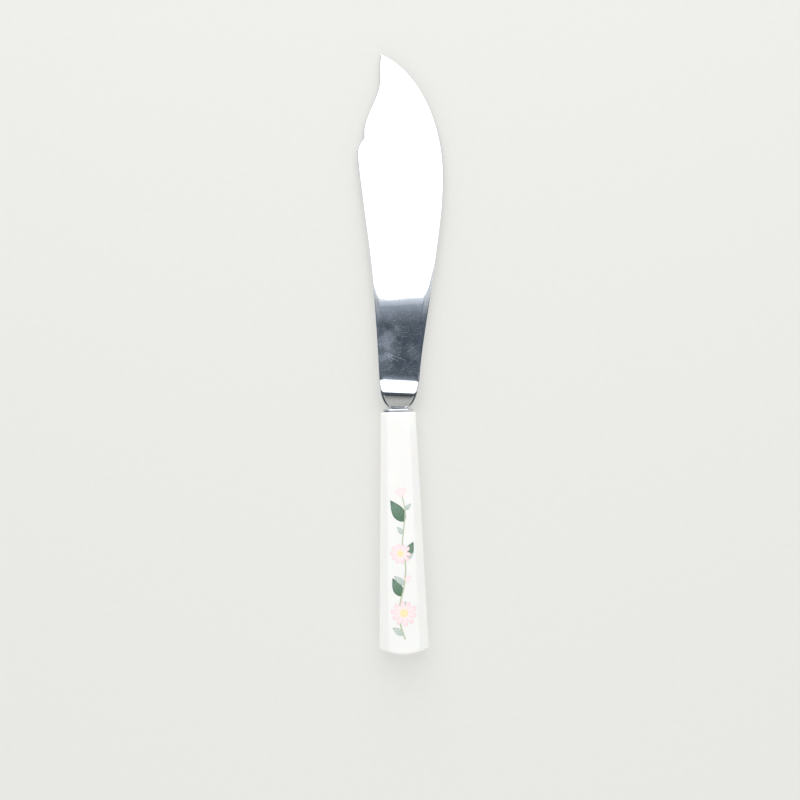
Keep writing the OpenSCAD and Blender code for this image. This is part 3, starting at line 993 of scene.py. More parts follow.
@dataclass
class FacetSection:
    """Sizes of the handle's eight-sided section at its mouth and at its butt."""

    length: float = 112.6
    mouth_width: float = 16.4
    mouth_thickness: float = 12.4
    butt_width: float = 23.1
    butt_thickness: float = 17.2
    mouth_facet: float = 3.2
    butt_facet: float = 4.7
    facet_slope: float = 42.0
    edge_power: float = 32.0
    butt_radius: float = 22.0
    butt_flat: float = 3.4

    def slope(self) -> float:
        """Give the slope of the upper and lower facets against the axis, in radians."""
        return math.atan((self.butt_thickness - self.mouth_thickness) / 2 / self.length)

    def dome(self, x: float, z: float) -> float:
        """Give the rise of the domed butt at an offset from the axis."""
        return (x * x + z * z) / (2 * self.butt_radius)

    def core(self) -> float:
        """Give the share of the butt that its flat core takes."""
        return self.butt_flat / self.butt_width

    def core_rise(self) -> float:
        """Give the rise that the flat core takes off the dome."""
        return self.dome(self.butt_flat / 2, self.core() * self.butt_thickness / 2)

    def rim_rise(self) -> float:
        """Give the rise of the butt's dome at the upper and lower facets."""
        return self.dome(0.0, self.butt_thickness / 2) - self.core_rise()

    def corner(self, width: float, thickness: float, facet: float) -> float:
        """Find how far a corner facet's plane lies from the axis.

        Args:
            width: The section's width.
            thickness: The section's thickness.
            facet: The corner facet's width, seen from above.

        Returns:
            The distance.
        """
        slope = math.radians(self.facet_slope)
        return (width / 2 - facet) * math.sin(slope) + thickness / 2 * math.cos(slope)

    def values(self, rows: int, columns: int, flared: bool) -> dict[str, Any]:
        """Give the inputs of the facet sweep.

        Args:
            rows: The number of guide rows.
            columns: The number of points round a ring.
            flared: Whether the section grows towards the butt.

        Returns:
            A value for each named input.
        """
        mouth = (self.mouth_width, self.mouth_thickness, self.mouth_facet)
        butt = (self.butt_width, self.butt_thickness, self.butt_facet) if flared else mouth
        ends = {}
        for end, (width, thickness, facet) in (("Mouth", mouth), ("Butt", butt)):
            ends[f"{end} Side"] = width / 2
            ends[f"{end} Top"] = thickness / 2
            ends[f"{end} Corner"] = self.corner(width, thickness, facet)
        return {
            **ends,
            "Rows": rows,
            "Columns": columns,
            "Length": self.length,
            "Corner Slope": math.radians(self.facet_slope),
            "Edge Power": self.edge_power,
            "Dome Radius": self.butt_radius,
            "Core Rise": self.core_rise(),
            "Rim Rise": self.rim_rise(),
        }


@dataclass
class Handle:
    """The hollow bone-china handle."""

    section: FacetSection
    mouth_round: float = 0.9
    butt_soft: float = 0.9
    china_wall: float = 2.8
    butt_wall: float = 5.0
    hollow_turn: float = 4.0
    hollow_end: float = 0.6
    columns: int = 337
    side_rows: int = 24
    dome_rows: int = 14
    turn_rows: int = 12

    def profile(self) -> list[tuple[float, float, float, float]]:
        """Draw the handle's wall from the middle of the butt round the mouth to the end of the hollow.

        Returns:
            Rows of (drawn in by, height, scale, share of the dome's bend).
        """
        butt = -self.section.length
        rim = butt + self.section.rim_rise()
        core = self.section.core()
        soft_scale = 1 - 2 * self.butt_soft / self.section.butt_thickness
        curve = [(soft_scale, 0.0), (1.0, 0.0), (1.0, self.butt_soft)]
        quarter = steps(0.0, math.pi / 2, self.turn_rows)
        rows = [(0.0, rim, scale, 1.0) for scale in (0.0, core / 2, *steps(core, soft_scale, self.dome_rows))]
        for t in steps(0.0, 1.0, self.turn_rows)[1:]:
            scale, lift = bezier(curve, t)
            rows.append((0.0, rim + lift, scale, 1.0))
        for t in steps(0.0, 1.0, self.side_rows)[1:]:
            rows.append((0.0, mix(rim + self.butt_soft, -self.mouth_round, t), 1.0, 1.0 - t))
        for a in quarter[1:]:
            inset, drop = self.mouth_round * (1 - math.cos(a)), self.mouth_round * (1 - math.sin(a))
            rows.append((inset, -drop, 1.0, 0.0))
        floor = butt + self.butt_wall
        for y in steps(0.0, floor + self.hollow_turn, self.side_rows):
            rows.append((self.china_wall, y, 1.0, 0.0))
        for a in quarter[1:]:
            scale = mix(self.hollow_end, 1.0, math.cos(a))
            rows.append((self.china_wall, floor + self.hollow_turn * (1 - math.sin(a)), scale, 0.0))
        rows.append((self.china_wall, floor, 0.0, 0.0))
        return rows

    def build(self, sweep: PieceTree, lie: Lie, finish: Material) -> None:
        """Make the handle and hand it over.

        Args:
            sweep: The facet sweep.
            lie: How the knife lies.
            finish: The china's material.
        """
        rows = self.profile()
        guide, bends = [Vector(row[:3]) for row in rows], [row[3] for row in rows]
        values = self.section.values(len(rows), self.columns, flared=True)
        piece = sweep.make("china_handle", guide, values, finish, lie.knife(), bends)
        hand_over(piece, "bone_china", "handle")


@dataclass
class Ferrule:
    """The steel cap that closes the mouth of the handle, with its spigot and the hole for the tang."""

    section: FacetSection
    thickness: float = 1.4
    setback: float = 1.2
    soft: float = 0.5
    spigot_depth: float = 3.0
    spigot_inset: float = 3.0
    hole_share: float = 0.46
    face_share: float = 0.8
    columns: int = 241
    rim_rows: int = 8

    def profile(self) -> list[Vector]:
        """Draw the ferrule's outline from the hole under the spigot round the rim and back through the hole.

        Returns:
            Rows of (drawn in by, height, scale).
        """
        rim = []
        for a in steps(0.0, math.pi / 2, self.rim_rows):
            inset, drop = self.soft * (1 - math.cos(a)), self.soft * (1 - math.sin(a))
            rim.append((self.setback + inset, self.thickness - drop, 1.0))
        hole = self.setback + self.soft
        rows = [
            (hole, -self.spigot_depth, self.hole_share),
            (self.spigot_inset, -self.spigot_depth, 1.0),
            (self.spigot_inset, 0.0, 1.0),
            (self.setback, 0.0, 1.0),
            *rim,
            (hole, self.thickness, self.face_share),
            (hole, self.thickness, self.hole_share),
            (hole, -self.spigot_depth, self.hole_share),
        ]
        return [Vector(row) for row in rows]

    def build(self, sweep: PieceTree, lie: Lie, finish: Material) -> None:
        """Make the ferrule and hand it over.

        Args:
            sweep: The facet sweep.
            lie: How the knife lies.
            finish: The steel's material.
        """
        rows = self.profile()
        values = self.section.values(len(rows), self.columns, flared=False)
        piece = sweep.make("steel_ferrule", rows, values, finish, lie.knife(), [0.0] * len(rows))
        hand_over(piece, "ferrule_steel", "ferrule")


class Station(NamedTuple):
    """One section of the forging: height, half thickness, offsets of back and edge, and if it is round."""

    y: float
    half: float
    back: float
    edge: float
    turned: bool = False


@dataclass
class Blade:
    """The forged blade with its bolster, neck and tang, lofted through many sections."""

    length: float = 167.4
    heel_thickness: float = 1.6
    tip_thickness: float = 0.9
    tip_nib: float = 0.4
    grind_width: float = 3.0
    grind_depth: float = 0.28
    grind_runout: float = 25.0
    roll_width: float = 2.5
    roll_depth: float = 0.3
    heel_roll: float = 0.5
    heel_drop: float = 0.15
    tip_offset: float = 4.2
    tip_straight: float = 12.0
    tip_lean: float = 0.5
    swage_length: float = 25.0
    nick_straight: float = 2.4
    nick_offset: float = 12.7
    shoulder_length: float = 8.0
    shoulder_offset: float = 16.0
    shoulder_lean: float = 4.0
    shoulder_reach: float = 0.27
    back_heel_lean: float = 1.4
    back_heel_reach: float = 0.58
    heel_back: float = 8.3
    belly_drop: float = 55.4
    belly_offset: float = 23.9
    belly_reach: float = 0.41
    tip_slope: float = 25.0
    tip_reach: float = 0.36
    edge_reach: float = 0.29
    edge_heel_lean: float = 5.0
    edge_heel_reach: float = 0.25
    heel_edge: float = 10.2
    heel_height: float = 14.4
    crest_height: float = 8.7
    crest_thickness: float = 6.6
    crest_share: float = 0.8
    ease_run: float = 9.0
    ease_slope: float = 2.03
    ease_side: float = 2.0
    bolster_slant: float = 4.0
    slant_runout: float = 40.0
    bolster_round: float = 1.5
    bolster_drop: float = 0.9
    back_fullness: float = 2.2
    edge_fullness: float = 1.2
    edge_taper: float = 1.5
    neck_width: float = 8.4
    neck_offset: float = 0.3
    neck_thickness: float = 4.2
    neck_lip: float = 0.2
    neck_length: float = 0.6
    seat_height: float = 1.4
    tang_diameter: float = 4.0
    tang_length: float = 60.0
    tang_point: float = 4.0
    tang_start: float = -3.0
    groove_count: int = 4
    groove_width: float = 4.0
    groove_depth: float = 0.5
    groove_profile: tuple[Spot, ...] = ((-0.5, 0.0), (-0.25, 1.0), (0.25, 1.0), (0.5, 0.0))
    roll_share: float = 0.3
    grind_share: float = 0.5
    flat_shares: tuple[float, ...] = (0.015, 0.03, 0.05, 0.07, 0.09, 0.11, 0.14, 0.18, 0.3)
    corner_steps: int = 14
    lip_steps: int = 10
    foot_steps: int = 16
    crest_steps: int = 26
    fillet_steps: int = 20
    lead_steps: int = 12
    flank_steps: int = 130
    shoulder_steps: int = 44
    swage_steps: int = 70
    tip_steps: int = 44
    neck_y: float = field(init=False)
    neck_back: float = field(init=False)
    neck_edge: float = field(init=False)
    ease_lift: float = field(init=False)
    belly_y: float = field(init=False)
    shoulder_y: float = field(init=False)
    nick_y: float = field(init=False)
    straight_y: float = field(init=False)
    outline: dict[str, list[Spot]] = field(init=False)

    def __post_init__(self) -> None:
        """Work out the heights of the outline's parts and the control points of its curves, as (x, y)."""
        self.neck_y = self.seat_height + self.neck_length
        self.neck_back = self.neck_offset - self.neck_width / 2
        self.neck_edge = self.neck_offset + self.neck_width / 2
        self.ease_lift = self.ease_run * math.tan(math.radians(self.ease_slope) / 2)
        self.straight_y = self.length - self.tip_straight
        self.nick_y = self.straight_y - self.swage_length - self.nick_straight
        self.shoulder_y = self.nick_y - self.shoulder_length
        self.belly_y = self.length - self.belly_drop
        taper = self.shoulder_y - self.heel_height
        taper_top, taper_heel = self.shoulder_reach * taper, self.back_heel_reach * taper
        run = self.belly_y - self.heel_height
        edge_top, edge_low = self.edge_reach * run, self.edge_heel_reach * run
        tip_x, tip_run = self.tip_nib - self.tip_offset, self.tip_reach * self.belly_drop
        tip_angle = math.radians(self.tip_slope)
        shoulder_tan, back_tan, edge_tan = (
            math.tan(math.radians(lean))
            for lean in (self.shoulder_lean, self.back_heel_lean, self.edge_heel_lean)
        )
        self.outline = {
            "shoulder": [
                (-self.nick_offset, self.nick_y),
                (-self.shoulder_offset, self.nick_y - (self.shoulder_offset - self.nick_offset)),
                (-self.shoulder_offset, self.shoulder_y),
            ],
            "taper": [
                (-self.shoulder_offset, self.shoulder_y),
                (-self.shoulder_offset + taper_top * shoulder_tan, self.shoulder_y - taper_top),
                (-self.heel_back - taper_heel * back_tan, self.heel_height + taper_heel),
                (-self.heel_back, self.heel_height),
            ],
            "tip": [
                (tip_x, self.length),
                (tip_x + tip_run * math.cos(tip_angle), self.length - tip_run * math.sin(tip_angle)),
                (self.belly_offset, self.belly_y + self.belly_reach * self.belly_drop),
                (self.belly_offset, self.belly_y),
            ],
            "edge": [
                (self.belly_offset, self.belly_y),
                (self.belly_offset, self.belly_y - edge_top),
                (self.heel_edge + edge_low * edge_tan, self.heel_height + edge_low),
                (self.heel_edge, self.heel_height),
            ],
            "back heel": [
                (-self.heel_back, self.heel_height),
                (-self.heel_back, self.neck_y + self.back_fullness),
                (self.neck_back, self.neck_y),
            ],
            "edge heel": [
                (self.heel_edge, self.heel_height),
                (self.heel_edge - self.edge_taper, self.neck_y + self.edge_fullness),
                (self.neck_edge, self.neck_y),
            ],
        }

    def back_x(self, y: float) -> float:
        """Find the offset of the back at a height.

        Args:
            y: The height.

        Returns:
            The offset, which is negative.
        """
        if y >= self.straight_y:
            return -self.tip_offset - self.tip_lean * (self.length - y) / self.tip_straight
        if y >= self.nick_y:
            t = clamp((self.straight_y - y) / self.swage_length)
            return -mix(self.tip_offset + self.tip_lean, self.nick_offset, t * t * (3 - 2 * t))
        if y >= self.shoulder_y:
            return curve_x(self.outline["shoulder"], y)
        if y >= self.heel_height:
            return curve_x(self.outline["taper"], y)
        return curve_x(self.outline["back heel"], y) if y > self.neck_y else self.neck_back

    def edge_x(self, y: float) -> float:
        """Find the offset of the cutting edge at a height.

        Args:
            y: The height.

        Returns:
            The offset.
        """
        if y >= self.belly_y:
            return curve_x(self.outline["tip"], y)
        if y >= self.heel_height:
            return curve_x(self.outline["edge"], y)
        return curve_x(self.outline["edge heel"], y) if y > self.neck_y else self.neck_edge

    def bolster(self) -> list[Spot]:
        """Draw the side of the bolster from the neck over its crest to the flat of the blade.

        The flat leads into the bolster's fillet by a long shallow curve, which only the mirror polish shows.

        Returns:
            Points of (height, half thickness).
        """
        crest_half, heel_half, neck_half = (
            t / 2 for t in (self.crest_thickness, self.heel_thickness, self.neck_thickness)
        )
        ease = math.radians(self.ease_slope)
        ease_r = self.ease_run / math.sin(ease)
        base = heel_half + ease_r * (1 - math.cos(ease))
        run = self.heel_height - self.crest_height
        slope = 2 * math.atan((crest_half - base) / run)
        crest_r = self.crest_share * run / math.sin(slope)
        fillet_r = (1 - self.crest_share) * run / math.sin(slope)
        lip_y, lip_half = self.neck_y + self.neck_lip, neck_half + self.neck_lip
        fall_run = self.crest_height - lip_y
        lift = lip_half - crest_half + crest_r
        fall = math.atan2(fall_run, lift) - math.acos(crest_r / math.hypot(fall_run, lift))
        crest = [
            (self.crest_height + crest_r * math.sin(a), crest_half - crest_r + crest_r * math.cos(a))
            for a in steps(-fall, slope, self.crest_steps)
        ]
        lip = [
            (lip_y - self.neck_lip * math.cos(a), lip_half - self.neck_lip * (1 - math.sin(a)))
            for a in steps(0.0, math.pi / 2, self.lip_steps)
        ]
        foot_y, foot_half = crest[0]
        shares = steps(0.0, 1.0, self.foot_steps)
        foot = [(mix(lip_y, foot_y, t), mix(lip_half, foot_half, t)) for t in shares]
        fillet = [
            (self.heel_height - fillet_r * math.sin(a), base + fillet_r * (1 - math.cos(a)))
            for a in steps(slope, ease, self.fillet_steps)
        ]
        low_y, low_half = fillet[-1]
        far_y, far_half = low_y + ease_r * math.sin(ease), low_half + ease_r * math.cos(ease)
        lead = [
            (far_y - ease_r * math.sin(a), far_half - ease_r * math.cos(a))
            for a in steps(ease, 0.0, self.lead_steps)
        ]
        return [(self.seat_height, neck_half), *lip, *foot[1:-1], *crest, *fillet[1:], *lead[1:]]

    def tang(self) -> list[Station]:
        """List the round sections of the tang, from its point up to the seat.

        Returns:
            The stations.
        """
        radius = self.tang_diameter / 2
        rows = [(-self.tang_length, radius / 2), (self.tang_point - self.tang_length, radius)]
        pitch = (self.tang_length - self.tang_point + self.tang_start) / self.groove_count
        for i in reversed(range(self.groove_count)):
            y = self.tang_start - pitch * (i + 0.5)
            for step, depth in self.groove_profile:
                rows.append((y + step * self.groove_width, radius - depth * self.groove_depth))
        rows.append((self.seat_height, radius))
        return [Station(y, r, -r, r, turned=True) for y, r in rows]

    def slanted(self, x: float, y: float) -> float:
        """Find the height of a point of a section, which slants across the bolster.

        Args:
            x: The point's offset.
            y: The section's height on the axis.

        Returns:
            The height, lower towards the cutting edge.
        """
        up_neck = clamp((y - self.seat_height) / self.neck_length)
        down_blade = clamp((self.heel_height + self.slant_runout - y) / self.slant_runout)
        return y - x * math.tan(math.radians(self.bolster_slant)) * min(up_neck, down_blade)

    def stations(self) -> list[Station]:
        """List every section of the forging, from the point of the tang to the tip of the blade.

        Returns:
            The stations.
        """
        rise = self.bolster()
        start = rise[-1][0]
        heights = [
            *steps(start, self.shoulder_y, self.flank_steps)[1:],
            *steps(self.shoulder_y, self.nick_y, self.shoulder_steps)[1:],
            *steps(self.nick_y, self.straight_y, self.swage_steps)[1:],
            *(self.length - self.tip_straight * (1 - t) ** 2 for t in steps(0.0, 1.0, self.tip_steps)[1:]),
        ]
        heel, tip = self.heel_thickness / 2, self.tip_thickness / 2
        run = self.length - start
        sides = rise + [(y, mix(heel, tip, (y - start) / run)) for y in heights]
        rows = self.tang()
        for y, half in sides:
            back = self.back_x(self.slanted(self.back_x(y), y))
            edge = self.edge_x(self.slanted(self.edge_x(y), y))
            rows.append(Station(y, half, back, edge))
        return rows

    def ring(self, station: Station) -> list[Vector]:
        """Draw one section: flat faces that roll off to the back and to the cutting edge.

        Args:
            station: The section's height and sizes.

        Returns:
            The points of the ring, over the top from the edge to the back and under it again.
        """
        y, half, back, edge, turned = station
        wide = edge - back
        ground = clamp((y - self.heel_height) / self.grind_runout)
        raised = clamp((self.heel_height - y) / (self.heel_height - self.crest_height))
        roll_reach = mix(self.heel_roll, min(self.roll_width, self.roll_share * wide), ground)
        side_reach = mix(roll_reach, self.bolster_round, raised)
        roll_depth = mix(self.heel_drop, self.roll_depth, ground)
        side_depth = mix(roll_depth, self.bolster_drop, raised)
        if turned:
            side_reach, side_depth = wide / 2, half
        edge_reach = mix(side_reach, min(self.grind_width, self.grind_share * wide), ground)
        edge_depth = mix(side_depth, self.grind_depth, ground)
        quarter = [(1 - math.cos(a), 1 - math.sin(a)) for a in steps(0.0, math.pi / 2, self.corner_steps)]
        right = [(edge - edge_reach * c, half - edge_depth * s) for c, s in quarter]
        left = [(back + side_reach * c, half - side_depth * s) for c, s in quarter]
        shares = (*self.flat_shares, 0.5, *(1 - share for share in reversed(self.flat_shares)))
        flat = [(mix(right[-1][0], left[-1][0], share), half) for share in shares]
        lift = clamp((half - self.heel_thickness / 2) / self.ease_lift) * self.ease_lift * (1 - raised)
        top = []
        for x, z in right + flat + left[::-1]:
            outward = clamp(1 - min(edge - x, x - back) / self.ease_side)
            top.append((x, z - (0.0 if turned else lift * outward**2)))
        rim = top + [(x, -z) for x, z in reversed(top)]
        return [Vector((x, y if turned else self.slanted(x, y), z)) for x, z in rim]

    def build(self, lie: Lie, finish: Material) -> None:
        """Loft the forging and hand it over.

        Args:
            lie: How the knife lies.
            finish: The steel's material.
        """
        rings = [self.ring(station) for station in self.stations()]
        count = len(rings[0])
        faces: list[tuple[int, ...]] = []
        for i in range(len(rings) - 1):
            for j in range(count):
                a, b = i * count + j, i * count + (j + 1) % count
                faces.append((a, b, b + count, a + count))
        last = (len(rings) - 1) * count
        faces.append(tuple(range(count)))
        faces.append(tuple(range(last, last + count)))
        mesh = bpy.data.meshes.new("forged_blade")
        mesh.from_pydata([point for ring in rings for point in ring], [], faces)
        close_mesh(mesh, sharp=STEEL_CREASE)
        mesh.materials.append(finish)
        hand_over(place("forged_blade", mesh, lie.knife()), "blade_steel", "blade")


class Print(NamedTuple):
    """One printed piece of the decoration: its tree, guide points with sizes, inputs and enamel."""

    name: str
    tree: PieceTree
    guide: list[Vector]
    sizes: list[float] | None
    values: dict[str, Any]
    enamel: FiredEnamel


@dataclass
class Sprig:
    """The fired-on decoration of the upper facet: a pale winding stem with leaves and daisies."""

    film: float = 0.05
    sink: float = 0.06
    film_sag: float = 0.8
    stem_width: float = 0.7
    stem_taper: float = 0.7
    stem_flatness: float = 0.2
    leaf_length: float = 9.8
    leaf_width: float = 4.7
    leaf_belly: float = 0.75
    petal_length: float = 1.0
    petal_width: float = 0.5
    petal_film: float = 0.012
    petal_blunt: float = 6.0
    petal_lift: float = 0.5
    petal_count: int = 10
    bud_petals: int = 3
    bud_pitch: float = 0.5
    dot_count: int = 44
    dot_radius: float = 0.055
    dot_spacing: float = 0.046
    dot_flatness: float = 0.3
    dot_lift: float = 1.6
    shape_rows: int = 10
    shape_columns: int = 6
    stem: tuple[Spot, ...] = (
        (0.6, -105.0), (-1.4, -98.0), (-1.6, -90.0), (0.8, -80.0), (1.6, -71.0),
        (0.4, -62.0), (1.2, -54.0), (2.0, -46.0), (0.8, -39.0),
    )
    blossoms: tuple[Triple, ...] = ((0.3, -93.0, 6.2), (-0.6, -65.5, 5.0))
    buds: tuple[Triple, ...] = ((0.8, -39.6, 4.6), (2.7, -79.0, 3.4))

    def printed_shape(
        self, name: str, length: float, width: float, film: float, outline: Callable[[float], float]
    ) -> Object:
        """Make one thin domed shape that the trees set many times.

        Args:
            name: The shape's name.
            length: Its length, along +Y.
            width: Its greatest width.
            film: Its height in the middle.
            outline: The share of the width at a share of the length.

        Returns:
            The shape as an object, with attributes for the place along and across it.
        """
        rows, columns = self.shape_rows, self.shape_columns
        points, along, across, faces = [], [], [], []
        for top in (True, False):
            for t in steps(0.0, 1.0, rows):
                for s in steps(-1.0, 1.0, columns):
                    crown = film * (1 - self.film_sag * s * s) * math.sqrt(max(0.0, math.sin(math.pi * t)))
                    points.append((s * width / 2 * outline(t), t * length, crown if top else -self.sink))
                    along.append(t)
                    across.append(s)
        line, layer = columns + 1, (rows + 1) * (columns + 1)
        for i in range(rows):
            for j in range(columns):
                a = i * line + j
                faces.append((a, a + 1, a + line + 1, a + line))
                faces.append((layer + a, layer + a + line, layer + a + line + 1, layer + a + 1))
        border = [*range(line), *(i * line + columns for i in range(1, rows + 1))]
        border += [rows * line + j for j in reversed(range(columns))]
        border += [i * line for i in reversed(range(1, rows))]
        for a, b in zip(border, border[1:] + border[:1]):
            faces.append((a, layer + a, layer + b, b))
        mesh = bpy.data.meshes.new(name)
        mesh.from_pydata(points, [], faces)
        for label, shares in (("along", along), ("across", across)):
            mesh.attributes.new(label, "FLOAT", "POINT").data.foreach_set("value", shares)
        shape = bpy.data.objects.new(name, mesh)
        bpy.context.scene.collection.objects.link(shape)
        return shape

    def foliage(self, leaf: Object) -> list[Print]:
        """List the stem and the two kinds of leaves on it.

        Args:
            leaf: The shape of a leaf.

        Returns:
            The printed pieces.
        """
        olive = FiredEnamel("stem_enamel", Ink.STEM, Ink.STEM, Ink.GREY_GREEN, Veins.RAYS, line_share=0.0)
        green = FiredEnamel(
            "leaf_enamel", Ink.LEAF_GREEN, Ink.MOSS_GREEN, Ink.DARK_GREEN, Veins.FEATHER, line_count=6.0
        )
        pale = FiredEnamel(
            "leaflet_enamel", Ink.SAGE, Ink.MIST_GREEN, Ink.GREY_GREEN, Veins.FEATHER, line_count=4.0
        )
        path = [Vector((x, y, 0.0)) for x, y in self.stem]
        line = {"Thickness": self.stem_width, "Taper": self.stem_taper, "Flatness": self.stem_flatness}
        large = {
            "Leaf": leaf, "Count": 3, "Start": 0.3, "End": 0.82, "Spread": 0.5,
            "First Scale": 0.95, "Last Scale": 1.15, "Seed": 4,
        }
        small = {
            "Leaf": leaf, "Count": 6, "Start": 0.03, "End": 0.9, "Spread": 0.8,
            "First Scale": 0.66, "Last Scale": 0.5, "Seed": 9,
        }
        leaves = leaf_row()
        return [
            Print("sprig_stem", trailing_stem(), path, None, line, olive),
            Print("sprig_leaves", leaves, path, None, large, green),
            Print("sprig_leaflets", leaves, path, None, small, pale),
        ]

    def flowers(self, petal: Object) -> list[Print]:
        """List the petals of the open flowers and of the buds, and the pollen.

        Args:
            petal: The shape of a petal, one millimetre long.

        Returns:
            The printed pieces.
        """
        pink = FiredEnamel(
            "petal_enamel", Ink.PETAL_WHITE, Ink.PETAL_PINK, Ink.ROSE, Veins.RAYS, line_count=1.5
        )
        blush = FiredEnamel(
            "bud_enamel", Ink.PETAL_PINK, Ink.PETAL_WHITE, Ink.ROSE, Veins.RAYS, line_count=1.5
        )
        gold = FiredEnamel("pollen_enamel", Ink.POLLEN, Ink.OCHRE, Ink.OCHRE, Veins.RAYS, line_share=0.2)
        full = {
            "Petal": petal, "Petals": self.petal_count, "Pitch": 2 * math.pi / self.petal_count,
            "First Turn": 0.0, "Turn Range": 0.5, "Seed": 2,
        }
        closed = {
            "Petal": petal, "Petals": self.bud_petals, "Pitch": self.bud_pitch,
            "First Turn": -self.bud_pitch, "Turn Range": 0.3, "Seed": 6,
        }
        dots = {
            "Dots": self.dot_count, "Dot Radius": self.dot_radius, "Spacing": self.dot_spacing,
            "Flatness": self.dot_flatness,
        }
        rings = rosette()
        prints = []
        for name, tree, spots, lift, values, enamel in (
            ("sprig_petals", rings, self.blossoms, self.petal_lift, full, pink),
            ("sprig_buds", rings, self.buds, self.petal_lift, closed, blush),
            ("sprig_pollen", stipple(), self.blossoms, self.dot_lift, dots, gold),
        ):
            guide = [Vector((x, y, self.film * lift)) for x, y, _ in spots]
            prints.append(Print(name, tree, guide, [size for _, _, size in spots], values, enamel))
        return prints

    def build(self, matrix: Matrix) -> None:
        """Make the whole decoration and hand it over.

        Args:
            matrix: The way from the upper facet's plane to the row frame.
        """
        leaf = self.printed_shape(
            "leaf_shape", self.leaf_length, self.leaf_width, self.film,
            lambda t: math.sin(math.pi * t**self.leaf_belly),
        )
        petal = self.printed_shape(
            "petal_shape", self.petal_length, self.petal_width, self.petal_film,
            lambda t: math.sqrt(t * max(0.0, 1 - t**self.petal_blunt)),
        )
        pieces = [
            tree.make(name, guide, values, enamel.material(), matrix, sizes)
            for name, tree, guide, sizes, values, enamel in self.foliage(leaf) + self.flowers(petal)
        ]
        for shape in (leaf, petal):
            bpy.data.objects.remove(shape)
        for piece in pieces:
            hand_over(piece, "bone_china")


def oblong(left: float, right: float, back: float, front: float) -> list[Spot]:
    """Give the corners of a rectangle, seen from above."""
    return [(left, back), (left, front), (right, front), (right, back)]


def level(outline: Iterable[Spot], height: float) -> list[Triple]:
    """Raise an outline to a height."""
    return [(x, y, height) for x, y in outline]


class Card(NamedTuple):
    """One flat card of the studio, with its corners in millimetres of the row frame."""

    name: str
    corners: list[Triple]
    stock: CardStock | GradedCard


class Softbox(NamedTuple):
    """A leaning softbox: upper and lower edge as (y, z), width, radiance and turn in degrees."""

    name: str
    near: Spot
    far: Spot
    width: float
    radiance: float
    turn: float = 0.0


class Wing(NamedTuple):
    """One side of the studio: the place and tones of its scrim, and the tones of its wall."""

    name: str
    sign: float
    scrim_height: float
    scrim_pale: float
    scrim_lean: float
    scrim_rim: tuple[Spot, ...]
    wall_fade: Range
    wall_lean: float


LEFT_WING = Wing(
    "left", -1.0, scrim_height=1150.0, scrim_pale=137.5, scrim_lean=-0.0455,
    scrim_rim=(
        (-420.0, 125.0), (-200.0, 130.0), (-70.0, 131.5), (-22.0, 133.2), (-12.0, 131.6), (-55.0, 129.5),
    ),
    wall_fade=(-4.0, 21.0), wall_lean=-0.091,
)
RIGHT_WING = Wing(
    "right", 1.0, scrim_height=1190.0, scrim_pale=144.0, scrim_lean=0.17,
    scrim_rim=((420.0, 111.0), (240.0, 125.0), (160.0, 124.2), (112.0, 128.4), (57.0, 135.0)),
    wall_fade=(-36.0, -16.0), wall_lean=-0.074,
)


